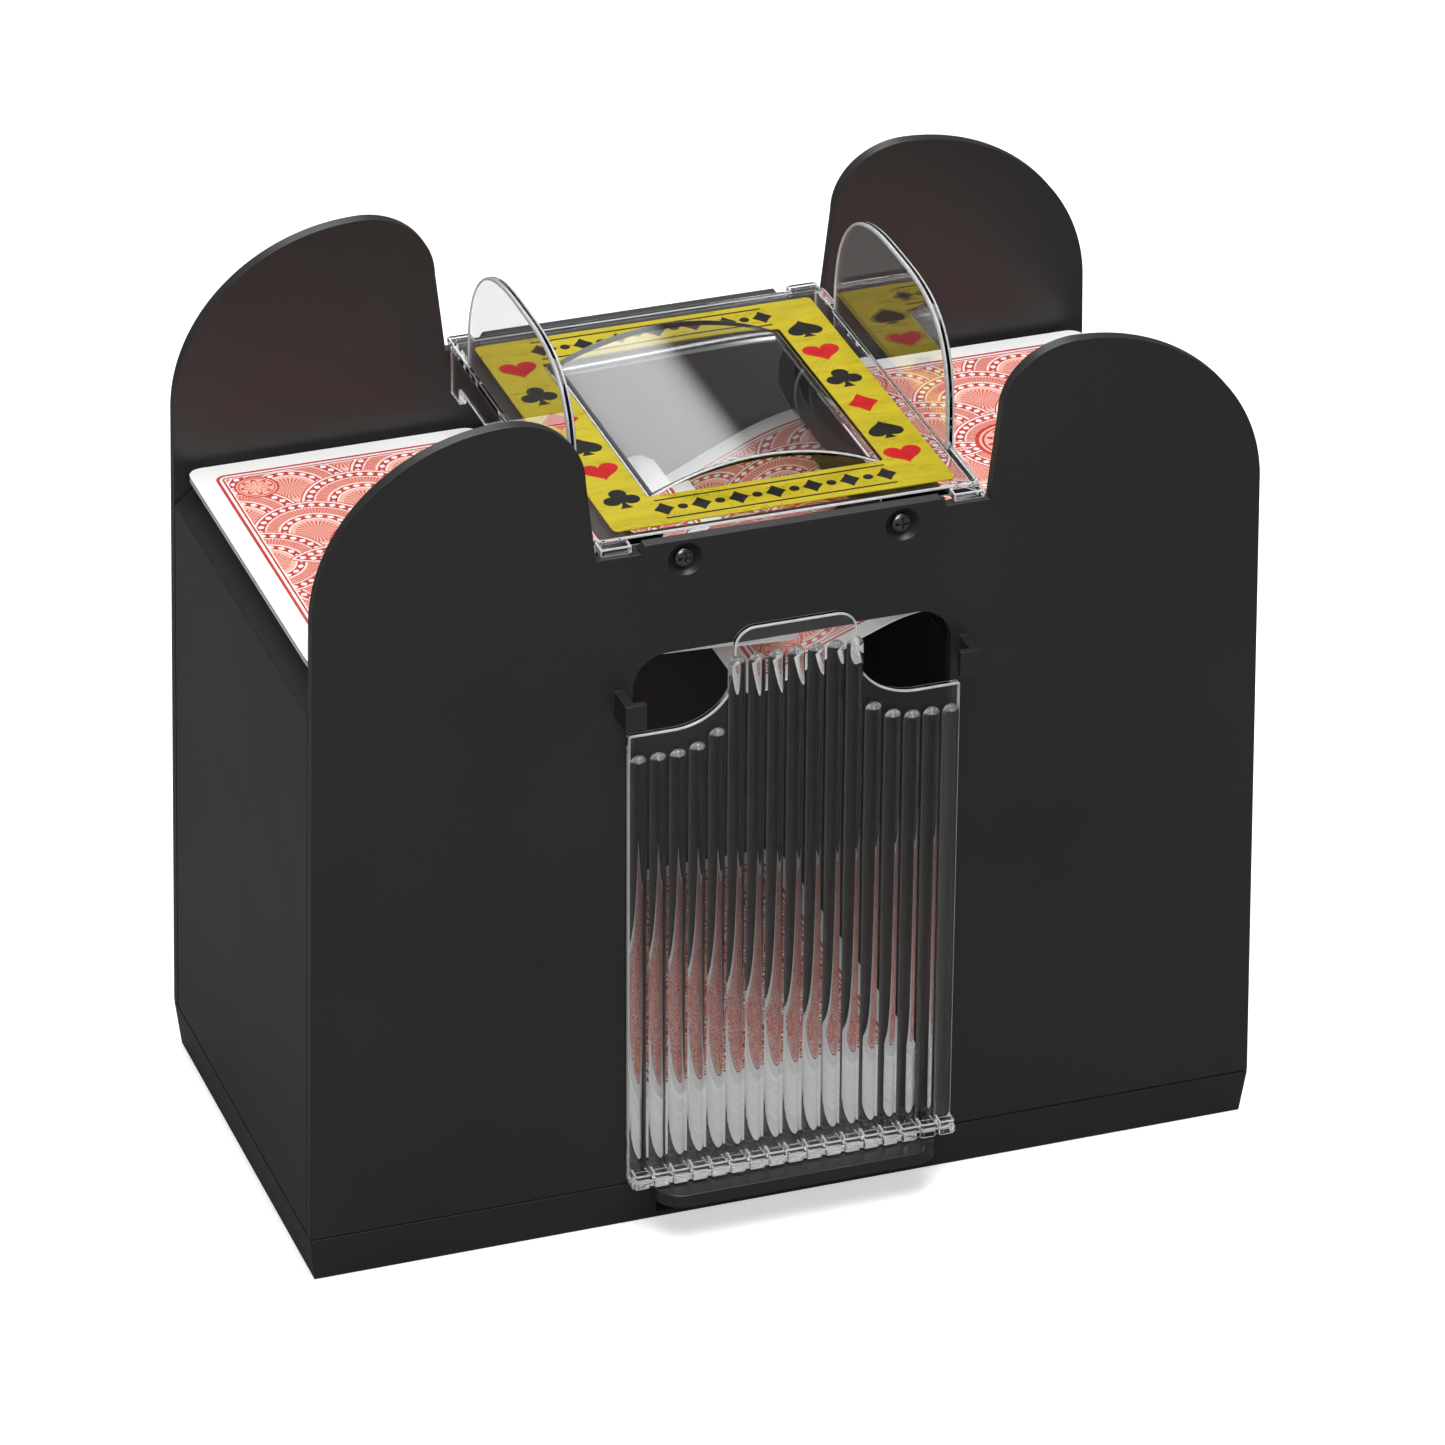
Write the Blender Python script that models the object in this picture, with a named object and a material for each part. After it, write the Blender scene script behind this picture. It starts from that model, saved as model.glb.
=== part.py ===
"""Automatic playing-card shuffler: two card trays feed a central well between four rounded ears.

Millimetres below, metres in the scene. X is the width, Y the depth with the front at -Y, Z up.
The origin is the middle of the base's underside.
"""

import math

import bmesh
import bpy
from mathutils import Matrix

MM = 0.001
GAP = 0.3                  # clearance between touching pieces

# ---- Housing ----
BASE_WIDTH = 208.2
DEPTH = 101.0
DRAFT = math.tan(math.radians(1.2))   # the end walls lean in as they rise
PANEL = 2.7                # front and rear panel thickness
WALL = 2.4                 # end wall thickness
PLINTH_HEIGHT = 10.4
PLINTH_INSET = 1.1
SHOULDER_Z = 152.0         # where the ears start to curve
EAR_TOP_Z = 190.5
EAR_PEAK_X = 60.0          # the two quarter ellipses of an ear meet here
EAR_INNER_RADIUS = 16.0
EAR_INNER_HEIGHT = 14.5
NOTCH_HALF = 41.9
NOTCH_Z = 157.6
RAISED_HALF = 32.4         # the raised middle of the notch
RAISED_Z = 159.4
EDGE_ROUND = 0.8

FRONT = -DEPTH / 2
BACK = DEPTH / 2
INNER_Y = DEPTH / 2 - PANEL           # inner faces of both panels
FIT_Y = INNER_Y - GAP                 # half-length of what spans between the panels

# ---- Discharge window, shelf and hooks ----
WINDOW_HALF = 34.1
WINDOW_TOP = 134.4
WINDOW_RADIUS = 7.5
SHELF_HALF = 31.0
SHELF_TOP = 11.3
SHELF_THICK = 3.0
SHELF_FRONT = -60.5
SHELF_RADIUS = 6.0
HOOK_REACH = 7.1
HOOK_PLATE = 1.6
HOOK_IN = 33.5
HOOK_OUT = 38.1
HOOK_ARM = 2.2
HOOK_LOW = 121.7
HOOK_HIGH = 127.4

# ---- Window cover ----
COVER_HALF = 35.7
COVER_SHOULDER = 117.6
COVER_TOP = 138.2
COVER_TAB_HALF = 13.2
COVER_TAB_ROUND = 4.5
COVER_SCOOP_X = 13.0
COVER_SCOOP_Z = 11.0
COVER_PLATE = 1.6
FLUTES = 17
FLUTE_DEPTH = 1.5
FLUTE_MARGIN = 4.6         # plain edge over the flutes
LEDGE_HEIGHT = 3.4
LEDGE_DEPTH = 2.2

# ---- Trays, well and cards ----
CARD_WIDTH = 63.0
CARD_LENGTH = 88.9
CARD_ROUND = 3.2
STACK_Y = 2.0              # the stacks sit towards the rear panel
STACK_TOPS = {"left": 140.3, "right": 141.5}
SLID_THICK = 1.5           # the top cards of a stack have slid outward over the end wall's lip
SLID_OUT = 2.6
SLID_FORWARD = 1.0
TRAY_TOP = 128.4
TRAY_THICK = 2.5
RIB = 1.0
WELL_HALF = 34.3
WELL_WALL = 1.8
TRAY_IN = 34.7
GATE_OUT = 33.4
GATE_THICK = 1.4
FEED_SLOT = 1.3            # a single card passes under the gate
BEAM = 4.0                 # the feed frame's cross beams
BEAM_LOW = 150.0
LIP_Z = 131.7
LIP_RISE = 3.4
LIP_WIDTH = 4.2
SHUFFLED_TOP = 26.4
STACK_LOW = TRAY_TOP + RIB + 1.4      # over the fed cards
CARD_THICK = 0.3
# A card half fed from each tray droops into the well: how far its outer edge is from the middle,
# where it starts to bend, the bend's radius and the slope it ends at.
FED_CARDS = {
    "left": (57.5, 34.0, 150.0, 2.5),
    "right": (54.0, 34.0, 30.0, 21.5),
}
FED_FRONT = -42.2

# ---- Lid ----
LID_HALF = 41.3
LID_LENGTH_HALF = 47.2
LID_LOW = 158.0
LID_THICK = 2.2
LABEL_HALF = 36.4
LABEL_FRONT = -45.2
LABEL_BACK = 41.6
LABEL_THICK = 0.3
VIEW_HALF = 25.0
VIEW_FRONT = -33.0
VIEW_BACK = 29.5
DOME_RISE = 6.0
DOME_THICK = 1.6
FIN_X = 40.6
FIN_THICK = 1.9
FIN_CENTRE = 1.8
FIN_HALF = 33.7
FIN_TOP = 190.0
TAB_IN = 34.2
TAB_OUT = 40.9
SKIRT_IN = 39.5            # the lid's side skirts, with a clip leg at each end
SKIRT_OUT = 41.2
SKIRT_LOW = 151.5
LEG_LOW = 148.0
LEG_LENGTH = 6.0

# ---- Drive, one set in each bay ----
BORE = 0.15                # running clearance round shafts
ROLLER_X = 46.5
ROLLER_RADIUS = 9.0
ROLLER_Z = TRAY_TOP + RIB - ROLLER_RADIUS
SHAFT_RADIUS = 1.5
PIN_RADIUS = 1.0           # idler pins and motor shafts
BUSH_RADIUS = 3.2
TYRE_Y = 22.0
TYRE_WIDTH = 12.0
PLATE_Y = 41.0             # inner face of the bearing plates
PLATE_THICK = 2.0
MODULE = 0.8
ROLLER_TEETH = 20
IDLER_SMALL_TEETH = 10
IDLER_LARGE_TEETH = 28
PINION_TEETH = 10
MESH_PLAY = 0.15           # extra centre distance
IDLER_ANGLE = math.radians(-63)       # from the roller to the idler
MOTOR_ANGLE = math.radians(-60)       # from the idler to the motor
LAYER_A = (PLATE_Y + PLATE_THICK + 0.4, PLATE_Y + PLATE_THICK + 2.1)
LAYER_B = (LAYER_A[1] + 0.3, LAYER_A[1] + 2.0)
MOTOR_RADIUS = 10.0
MOTOR_FLAT = 7.6
MOTOR_LENGTH = 25.0

# ---- Batteries ----
CELL_RADIUS = 7.1
CELL_LENGTH = 50.0
CELL_PITCH = 14.8
CELLS = 4
BATTERY_X = -68.3
PAN_FLOOR = 4.5
PAN_RIM = 2.5
DOOR_THICK = 2.0
DOOR_RECESS = 2.4
DOOR_HALF_X = 29.7
DOOR_HALF_Y = 30.0
DOOR_TRAVEL = 8.0
DOOR_LEDGE = 1.0           # what the door bears on, and twice that at its ends

BOX_TOP = 22.0
BOX_HALF_X = 31.4
BOX_HALF_Y = 30.0
BOX_WALL = 1.6
CELL_Z = 12.2
CONTACT_THICK = 0.6
CONTACT_Y = 27.5           # inner faces of the contact plates
GRIP_RIDGES = 5

# ---- Screws ----
SCREW_X = 23.1             # the two upper screws of a panel
SCREW_Z = 155.0
SCREW_HEAD = 2.2           # radii
SCREW_SHANK = 1.3
SCREW_DISH = 4.2
SCREW_DISH_DEPTH = 1.6
SCREW_LENGTH = 6.4
BASE_SCREW_X = 94.0
BASE_SCREW_Y = 42.0
BASE_SCREW_LENGTH = 9.0

# ---- Button ----
BUTTON_Y = 0.0
BUTTON_Z = 100.0
BUTTON_RADIUS = 5.5
BUTTON_TRAVEL = 2.0

SIDES = (("left", -1), ("right", 1))


def body_half(z):
    """Half-width of the housing at height z."""
    return BASE_WIDTH / 2 - DRAFT * z


# ---------------------------------------------------------------- helpers

def clear_scene():
    for thing in list(bpy.data.objects):
        bpy.data.objects.remove(thing)


def material(name, colour, roughness, metallic=0.0, alpha=1.0):
    mat = bpy.data.materials.new(name)
    mat.use_nodes = True
    shader = mat.node_tree.nodes["Principled BSDF"]
    shader.inputs["Base Color"].default_value = (*colour, 1.0)
    shader.inputs["Roughness"].default_value = roughness
    shader.inputs["Metallic"].default_value = metallic
    shader.inputs["Alpha"].default_value = alpha
    return mat


def add_mesh(name, bm, mat=None):
    """Turns a bmesh in millimetres into an object in metres."""
    bmesh.ops.recalc_face_normals(bm, faces=bm.faces)
    bmesh.ops.scale(bm, vec=(MM, MM, MM), verts=bm.verts)
    mesh = bpy.data.meshes.new(name)
    bm.to_mesh(mesh)
    bm.free()
    obj = bpy.data.objects.new(name, mesh)
    bpy.context.scene.collection.objects.link(obj)
    if mat:
        mesh.materials.append(mat)
    return obj


def smooth(obj, degrees=35):
    obj.data.shade_smooth()
    obj.data.set_sharp_from_angle(angle=math.radians(degrees))
    return obj


def block(bm, low, high):
    """Adds a box to bm."""
    size = [h - l for l, h in zip(low, high)]
    middle = [(h + l) / 2 for l, h in zip(low, high)]
    place = Matrix.Translation(middle) @ Matrix.Diagonal((*size, 1.0))
    bmesh.ops.create_cube(bm, size=1.0, matrix=place)


def prism(bm, outline, low, high, axis="Y"):
    """Adds a closed outline swept between two planes. Outline pairs are XZ, YZ or XY."""
    place = {
        "X": lambda a, b, c: (c, a, b),
        "Y": lambda a, b, c: (a, c, b),
        "Z": lambda a, b, c: (a, b, c),
    }[axis]
    rings = [[bm.verts.new(place(a, b, c)) for a, b in outline] for c in (low, high)]
    bm.faces.new(rings[0])
    bm.faces.new(list(reversed(rings[1])))
    count = len(outline)
    for i in range(count):
        j = (i + 1) % count
        bm.faces.new((rings[0][i], rings[1][i], rings[1][j], rings[0][j]))


def turned(bm, profile, centre, axis="Y", segments=24):
    """Adds a solid of revolution. Profile pairs are (distance along the axis, radius), ends closed."""
    rings = []
    for along, radius in profile:
        ring = []
        for i in range(segments):
            angle = 2 * math.pi * (i + 0.5) / segments
            u = radius * math.cos(angle)
            v = radius * math.sin(angle)
            point = {"Y": (u, along, v), "X": (along, u, v), "Z": (u, v, along)}[axis]
            ring.append(bm.verts.new([c + p for c, p in zip(centre, point)]))
        rings.append(ring)
    for a, b in zip(rings, rings[1:]):
        for i in range(segments):
            j = (i + 1) % segments
            bm.faces.new((a[i], a[j], b[j], b[i]))
    bm.faces.new(rings[0])
    bm.faces.new(rings[-1])


def arc(cx, cz, rx, rz, start, end, steps):
    """Points of an ellipse arc, angles in degrees."""
    points = []
    for i in range(steps + 1):
        angle = math.radians(start + (end - start) * i / steps)
        points.append((cx + rx * math.cos(angle), cz + rz * math.sin(angle)))
    return points


def mirrored(points):
    """The same run of points on the other side of the middle, in reverse order."""
    return [(-x, z) for x, z in reversed(points)]


def rounded_rectangle(low, high, radius, steps=5):
    (x0, y0), (x1, y1) = low, high
    points = arc(x1 - radius, y1 - radius, radius, radius, 0, 90, steps)
    points += arc(x0 + radius, y1 - radius, radius, radius, 90, 180, steps)
    points += arc(x0 + radius, y0 + radius, radius, radius, 180, 270, steps)
    points += arc(x1 - radius, y0 + radius, radius, radius, 270, 360, steps)
    return points


def soften(obj, width, segments=2, degrees=40):
    """Rounds the sharp edges of a solid."""
    bevel = obj.modifiers.new("edges", "BEVEL")
    bevel.width = width * MM
    bevel.segments = segments
    bevel.limit_method = "ANGLE"
    bevel.angle_limit = math.radians(degrees)
    return obj


def combine(obj, bm, operation):
    """Cuts or joins a helper solid, which stays hidden."""
    helper = add_mesh(obj.name + "_helper", bm)
    helper.hide_render = True
    helper.display_type = "WIRE"
    change = obj.modifiers.new(operation.lower(), "BOOLEAN")
    change.operation = operation
    change.solver = "EXACT"
    change.object = helper
    return obj


def cut(obj, bm):
    return combine(obj, bm, "DIFFERENCE")


def join(obj, bm):
    return combine(obj, bm, "UNION")


def side_span(side, near, far):
    """The X range between two distances from the middle, on one side."""
    return (min(side * near, side * far), max(side * near, side * far))


# ---------------------------------------------------------------- materials

BLACK = material("black_abs", (0.023, 0.022, 0.022), 0.38)
CLEAR = material("clear_acrylic", (0.92, 0.94, 0.95), 0.06, alpha=0.3)
FOIL = material("gold_foil", (0.72, 0.62, 0.06), 0.28)
CARD = material("playing_card", (0.82, 0.22, 0.17), 0.4)
STEEL = material("steel", (0.55, 0.55, 0.56), 0.3, metallic=1.0)
DARK_STEEL = material("blackened_steel", (0.05, 0.05, 0.055), 0.35, metallic=0.6)
RUBBER = material("roller_rubber", (0.03, 0.03, 0.032), 0.8)
NYLON = material("white_nylon", (0.78, 0.77, 0.72), 0.45)
CELL = material("cell_jacket", (0.16, 0.2, 0.28), 0.35)
BRASS = material("contact_brass", (0.72, 0.6, 0.35), 0.3, metallic=1.0)


# ---------------------------------------------------------------- housing

def ear_outline():
    """The right half of a panel's top edge, from the middle out to the shoulder."""
    points = [(RAISED_HALF - 0.9, RAISED_Z), (RAISED_HALF, NOTCH_Z + 0.5)]
    points += [(RAISED_HALF, NOTCH_Z), (NOTCH_HALF, NOTCH_Z)]
    inner_z = EAR_TOP_Z - EAR_INNER_HEIGHT
    points += arc(EAR_PEAK_X, inner_z, EAR_INNER_RADIUS, EAR_INNER_HEIGHT, 180, 90, 12)
    outer_radius = body_half(SHOULDER_Z) - EAR_PEAK_X
    outer_height = EAR_TOP_Z - SHOULDER_Z
    points += arc(EAR_PEAK_X, SHOULDER_Z, outer_radius, outer_height, 90, 0, 22)[1:]
    return points


def panel_top():
    """The whole top edge from the left shoulder to the right one."""
    right = ear_outline()
    return mirrored(right) + right


def panel_outline(window):
    """Panel outline in XZ, anticlockwise from the bottom right, with or without the window."""
    half = body_half(PLINTH_HEIGHT)
    top = [(x, z) for x, z in reversed(panel_top())]
    points = [(half, PLINTH_HEIGHT)] + top + [(-half, PLINTH_HEIGHT)]
    if window:
        corner_x = WINDOW_HALF - WINDOW_RADIUS
        corner_z = WINDOW_TOP - WINDOW_RADIUS
        left = [(-WINDOW_HALF, PLINTH_HEIGHT)]
        left += arc(-corner_x, corner_z, WINDOW_RADIUS, WINDOW_RADIUS, 180, 90, 8)
        points += left + mirrored(left)
    return points


def screw_dishes(panel, face, outward):
    """Conical dishes and holes for the two upper screws of a panel."""
    bm = bmesh.new()
    for x in (-SCREW_X, SCREW_X):
        profile = [(outward * 1.0, SCREW_DISH + 0.75), (-outward * SCREW_DISH_DEPTH, SCREW_HEAD + GAP)]
        profile.append((-outward * (SCREW_DISH_DEPTH + 0.01), SCREW_SHANK + GAP))
        profile.append((-outward * (PANEL + 1), SCREW_SHANK + GAP))
        turned(bm, profile, (x, face, SCREW_Z), segments=20)
    return cut(panel, bm)


def hooks():
    """The two L hooks beside the window's top, reaching forward and turned inward."""
    bm = bmesh.new()
    tip = FRONT - HOOK_REACH
    for side in (-1, 1):
        outline = [(HOOK_IN, tip), (HOOK_OUT, tip), (HOOK_OUT, FRONT + 1), (HOOK_OUT - HOOK_ARM, FRONT + 1)]
        outline += [(HOOK_OUT - HOOK_ARM, tip + HOOK_PLATE), (HOOK_IN, tip + HOOK_PLATE)]
        prism(bm, [(side * x, y) for x, y in outline], HOOK_LOW, HOOK_HIGH, axis="Z")
    return bm


def front_panel():
    bm = bmesh.new()
    prism(bm, panel_outline(window=True), FRONT, FRONT + PANEL)
    panel = add_mesh("front_panel", bm, BLACK)
    soften(panel, EDGE_ROUND)
    screw_dishes(panel, FRONT, -1)
    join(panel, hooks())
    return smooth(panel)


def rear_panel():
    bm = bmesh.new()
    prism(bm, panel_outline(window=False), BACK - PANEL, BACK)
    panel = add_mesh("rear_panel", bm, BLACK)
    soften(panel, EDGE_ROUND)
    screw_dishes(panel, BACK, 1)
    return smooth(panel)


def end_wall(label, side):
    """An end wall: it leans in, and its top spreads into a lip that slopes up to the cards."""
    low = PLINTH_HEIGHT
    outline = [(body_half(low), low), (body_half(LIP_Z), LIP_Z)]
    inner = body_half(LIP_Z) - LIP_WIDTH
    outline += [(inner, LIP_Z + LIP_RISE), (inner, LIP_Z + 1.2), (body_half(LIP_Z - 3) - WALL, LIP_Z - 3)]
    outline += [(body_half(low) - WALL, low)]
    bm = bmesh.new()
    prism(bm, [(side * x, z) for x, z in outline], -FIT_Y, FIT_Y)
    wall = add_mesh(label + "_end_wall", bm, BLACK)
    if side > 0:
        hole = bmesh.new()
        turned(hole, [(-8, BUTTON_RADIUS + GAP), (8, BUTTON_RADIUS + GAP)],
               (body_half(BUTTON_Z), BUTTON_Y, BUTTON_Z), axis="X", segments=28)
        cut(wall, hole)
    return wall


def base_pan():
    """The plinth: a shallow pan, tapered in towards the table, with the battery opening."""
    top = PLINTH_HEIGHT - GAP
    half = body_half(PLINTH_HEIGHT)
    bm = bmesh.new()
    corners = []
    for z, inset in ((0, PLINTH_INSET), (top, 0)):
        x = half - inset
        y = DEPTH / 2 - inset
        corners.append([bm.verts.new(p) for p in ((-x, -y, z), (x, -y, z), (x, y, z), (-x, y, z))])
    bm.faces.new(corners[0])
    bm.faces.new(corners[1])
    for i in range(4):
        j = (i + 1) % 4
        bm.faces.new((corners[0][i], corners[0][j], corners[1][j], corners[1][i]))
    pan = add_mesh("base_pan", bm, BLACK)
    rim = PAN_RIM
    hollow = bmesh.new()
    block(hollow, (-half + rim, FRONT + rim, PAN_FLOOR), (half - rim, BACK - rim, top + 5))
    cut(pan, hollow)
    # The front wall is open under the shelf, and its top is lowered where the shelf passes.
    mouth = bmesh.new()
    block(mouth, (-SHELF_HALF + 2.4, FRONT - 5, 1.4), (SHELF_HALF - 2.4, FRONT + rim + 6, top + 5))
    cut(pan, mouth)
    notch = bmesh.new()
    block(notch, (-WINDOW_HALF, FRONT - 5, SHELF_TOP - SHELF_THICK - GAP),
          (WINDOW_HALF, FRONT + rim + 1, top + 6))
    cut(pan, notch)
    recess = bmesh.new()
    block(recess, (BATTERY_X - DOOR_HALF_X - GAP, -DOOR_HALF_Y - GAP, -5),
          (BATTERY_X + DOOR_HALF_X + GAP, DOOR_HALF_Y + DOOR_TRAVEL + GAP, DOOR_RECESS))
    cut(pan, recess)
    opening = bmesh.new()
    edge = DOOR_LEDGE
    block(opening, (BATTERY_X - DOOR_HALF_X + edge, -DOOR_HALF_Y + 2 * edge, -6),
          (BATTERY_X + DOOR_HALF_X - edge, DOOR_HALF_Y - 2 * edge, PAN_FLOOR + 5))
    cut(pan, opening)
    holes = bmesh.new()
    for x, y in base_screw_places():
        profile = [(-2, 3.4), (1.8, 3.4), (1.81, 1.7), (PAN_FLOOR + 2, 1.7)]
        turned(holes, profile, (x, y, 0), axis="Z", segments=16)
    cut(pan, holes)
    return pan


def base_screw_places():
    return [(x, y) for x in (-BASE_SCREW_X, BASE_SCREW_X) for y in (-BASE_SCREW_Y, BASE_SCREW_Y)]


# ---------------------------------------------------------------- well and trays

def collector_floor():
    """The floor under the shuffled cards. Its tongue sticks out through the front as a shelf."""
    radius = SHELF_RADIUS
    tongue = arc(SHELF_HALF - radius, SHELF_FRONT + radius, radius, radius, -90, 0, 8)
    inside = WELL_HALF - 0.7
    right = tongue + [(SHELF_HALF, FRONT - 0.5), (inside, FRONT + 0.2), (inside, FIT_Y)]
    outline = right + [(-x, y) for x, y in reversed(right)]
    bm = bmesh.new()
    prism(bm, outline, SHELF_TOP - SHELF_THICK, SHELF_TOP, axis="Z")
    floor = add_mesh("collector_floor", bm, BLACK)
    low = PAN_FLOOR + GAP
    legs = bmesh.new()
    for x in (-26, 26):
        block(legs, (x - 1.5, -30, low), (x + 1.5, 34, SHELF_TOP - 1))
    block(legs, (-28, 36, low), (28, 38, SHELF_TOP - 1))
    return join(floor, legs)


def well_wall(label, side):
    """One side of the well, from the base up to the tray."""
    x0, x1 = side_span(side, WELL_HALF, WELL_HALF + WELL_WALL)
    bm = bmesh.new()
    block(bm, (x0, -FIT_Y, PAN_FLOOR + GAP), (x1, FIT_Y, TRAY_TOP - TRAY_THICK - GAP))
    return add_mesh(label + "_well_wall", bm, BLACK)


def tray_floor(label, side):
    """The floor under one deck stack, with ribs, slots for the rollers and room for the gear."""
    outer = body_half(TRAY_TOP) - WALL - GAP - 0.1
    x0, x1 = side_span(side, TRAY_IN, outer)
    bm = bmesh.new()
    block(bm, (x0, -FIT_Y, TRAY_TOP - TRAY_THICK), (x1, FIT_Y, TRAY_TOP))
    tray = add_mesh(label + "_tray_floor", bm, BLACK)
    ribs = bmesh.new()
    r0, r1 = side_span(side, 60, 96)
    for y in (-32, -11, 11, 32):
        block(ribs, (r0, y - 1, TRAY_TOP - 1), (r1, y + 1, TRAY_TOP + RIB))
    join(tray, ribs)
    slots = bmesh.new()
    s0, s1 = side_span(side, ROLLER_X - 8.2, ROLLER_X + 8.2)
    for y in (-TYRE_Y, TYRE_Y):
        block(slots, (s0, y - TYRE_WIDTH / 2 - 1, TRAY_TOP - 10),
              (s1, y + TYRE_WIDTH / 2 + 1, TRAY_TOP + 10))
    g0, g1 = side_span(side, ROLLER_X - 8.4, ROLLER_X + 8.4)
    block(slots, (g0, LAYER_A[0] - 0.5, TRAY_TOP - 10), (g1, BACK, TRAY_TOP + 10))
    return cut(tray, slots)


def feed_frame():
    """The rectangular frame over the well: its long sides are the gates that let one card through."""
    low = TRAY_TOP + RIB + FEED_SLOT
    top = LID_LOW - GAP
    gate_in = GATE_OUT - GATE_THICK
    bm = bmesh.new()
    block(bm, (-GATE_OUT, -FIT_Y, low), (GATE_OUT, FIT_Y, top))
    frame = add_mesh("feed_frame", bm, BLACK)
    throat = bmesh.new()
    block(throat, (-gate_in, -FIT_Y + BEAM, low - 5), (gate_in, FIT_Y - BEAM, top + 5))
    cut(frame, throat)
    below = bmesh.new()
    block(below, (-gate_in, -FIT_Y - 5, low - 6), (gate_in, FIT_Y + 5, BEAM_LOW))
    cut(frame, below)
    holes = bmesh.new()
    radius = SCREW_SHANK + GAP
    for x in (-SCREW_X, SCREW_X):
        for near, far in ((-FIT_Y - 2, -FIT_Y + 7), (FIT_Y - 7, FIT_Y + 2)):
            turned(holes, [(near, radius), (far, radius)], (x, 0, SCREW_Z), segments=16)
    return cut(frame, holes)


# ---------------------------------------------------------------- lid

def fin_outline():
    """A guide fin in YZ: a squared arch, fuller towards the front."""
    height = FIN_TOP - LID_LOW - LID_THICK + 0.6
    points = []
    steps = 28
    for i in range(steps + 1):
        angle = math.pi * i / steps
        power = 2.6 if angle < math.pi / 2 else 3.4
        across = math.copysign(abs(math.cos(angle)) ** (2 / power), math.cos(angle))
        up = abs(math.sin(angle)) ** (2 / power)
        points.append((FIN_CENTRE + FIN_HALF * across, LID_LOW + LID_THICK - 0.6 + height * up))
    return points


def dome_outline(rise, half):
    """The barrel vault's arch in XZ above the lid's top."""
    top = LID_LOW + LID_THICK
    radius = (half * half + rise * rise) / (2 * rise)
    reach = math.degrees(math.asin(half / radius))
    return arc(0, top + rise - radius, radius, radius, 90 - reach, 90 + reach, 16)


def skirt_outline():
    """A side skirt in YZ, with a clip leg hanging at each end."""
    end = LID_LENGTH_HALF - 0.1
    top = LID_LOW + LID_THICK - 1.2
    inner = end - LEG_LENGTH
    right = [(inner, SKIRT_LOW), (inner, LEG_LOW), (end, LEG_LOW), (end, top)]
    return right + mirrored(right)


def lid():
    """The clear lid, one moulding: plate, skirts, barrel-vault dome, two guide fins, four clip tabs."""
    top = LID_LOW + LID_THICK
    bm = bmesh.new()
    block(bm, (-LID_HALF, -LID_LENGTH_HALF, LID_LOW), (LID_HALF, LID_LENGTH_HALF, top))
    cover = add_mesh("lid", bm, CLEAR)
    inner_half = VIEW_HALF - DOME_THICK
    inner_front = VIEW_FRONT + DOME_THICK
    inner_back = VIEW_BACK - DOME_THICK
    opening = bmesh.new()
    block(opening, (-inner_half, inner_front, LID_LOW - 5), (inner_half, inner_back, top + 5))
    cut(cover, opening)
    outer = bmesh.new()
    sill = top - 0.7
    arch = [(-VIEW_HALF, sill), (VIEW_HALF, sill)] + dome_outline(DOME_RISE, VIEW_HALF)
    prism(outer, arch, VIEW_FRONT, VIEW_BACK)
    join(cover, outer)
    inner = bmesh.new()
    arch = [(-inner_half, LID_LOW - 5), (inner_half, LID_LOW - 5)]
    arch += dome_outline(DOME_RISE - DOME_THICK, inner_half)
    prism(inner, arch, inner_front, inner_back)
    cut(cover, inner)
    for side in (-1, 1):
        fin = bmesh.new()
        centre = side * (FIN_X - 0.3)
        prism(fin, fin_outline(), centre - FIN_THICK / 2, centre + FIN_THICK / 2, axis="X")
        join(cover, fin)
        skirt = bmesh.new()
        prism(skirt, skirt_outline(), *side_span(side, SKIRT_IN, SKIRT_OUT), axis="X")
        join(cover, skirt)
    tabs = bmesh.new()
    low = NOTCH_Z + GAP + 0.15
    high = top - 0.4
    for side in (-1, 1):
        x0, x1 = side_span(side, TAB_IN, TAB_OUT)
        block(tabs, (x0, FRONT + GAP, low), (x1, -LID_LENGTH_HALF + 1, high))
        block(tabs, (x0, LID_LENGTH_HALF - 1, low), (x1, BACK - GAP, high))
    join(cover, tabs)
    return cover


def label():
    """The foil label glued on the lid, open over the dome."""
    low = LID_LOW + LID_THICK + GAP
    bm = bmesh.new()
    block(bm, (-LABEL_HALF, LABEL_FRONT, low), (LABEL_HALF, LABEL_BACK, low + LABEL_THICK))
    foil = add_mesh("lid_label", bm, FOIL)
    opening = bmesh.new()
    block(opening, (-VIEW_HALF - GAP, VIEW_FRONT - GAP, low - 5),
          (VIEW_HALF + GAP, VIEW_BACK + GAP, low + 5))
    return cut(foil, opening)


# ---------------------------------------------------------------- window cover

def cover_outline():
    """The cover's outline in XZ: square shoulders and two scoops up to a rounded tab."""
    right = [(COVER_HALF, SHELF_TOP + GAP), (COVER_HALF, COVER_SHOULDER)]
    scoop_x = COVER_TAB_HALF + COVER_SCOOP_X
    right += arc(scoop_x, COVER_SHOULDER + COVER_SCOOP_Z, COVER_SCOOP_X, COVER_SCOOP_Z, 270, 180, 10)
    tab_x = COVER_TAB_HALF - COVER_TAB_ROUND
    right += arc(tab_x, COVER_TOP - COVER_TAB_ROUND, COVER_TAB_ROUND, COVER_TAB_ROUND, 0, 90, 6)
    return right + mirrored(right)


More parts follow.
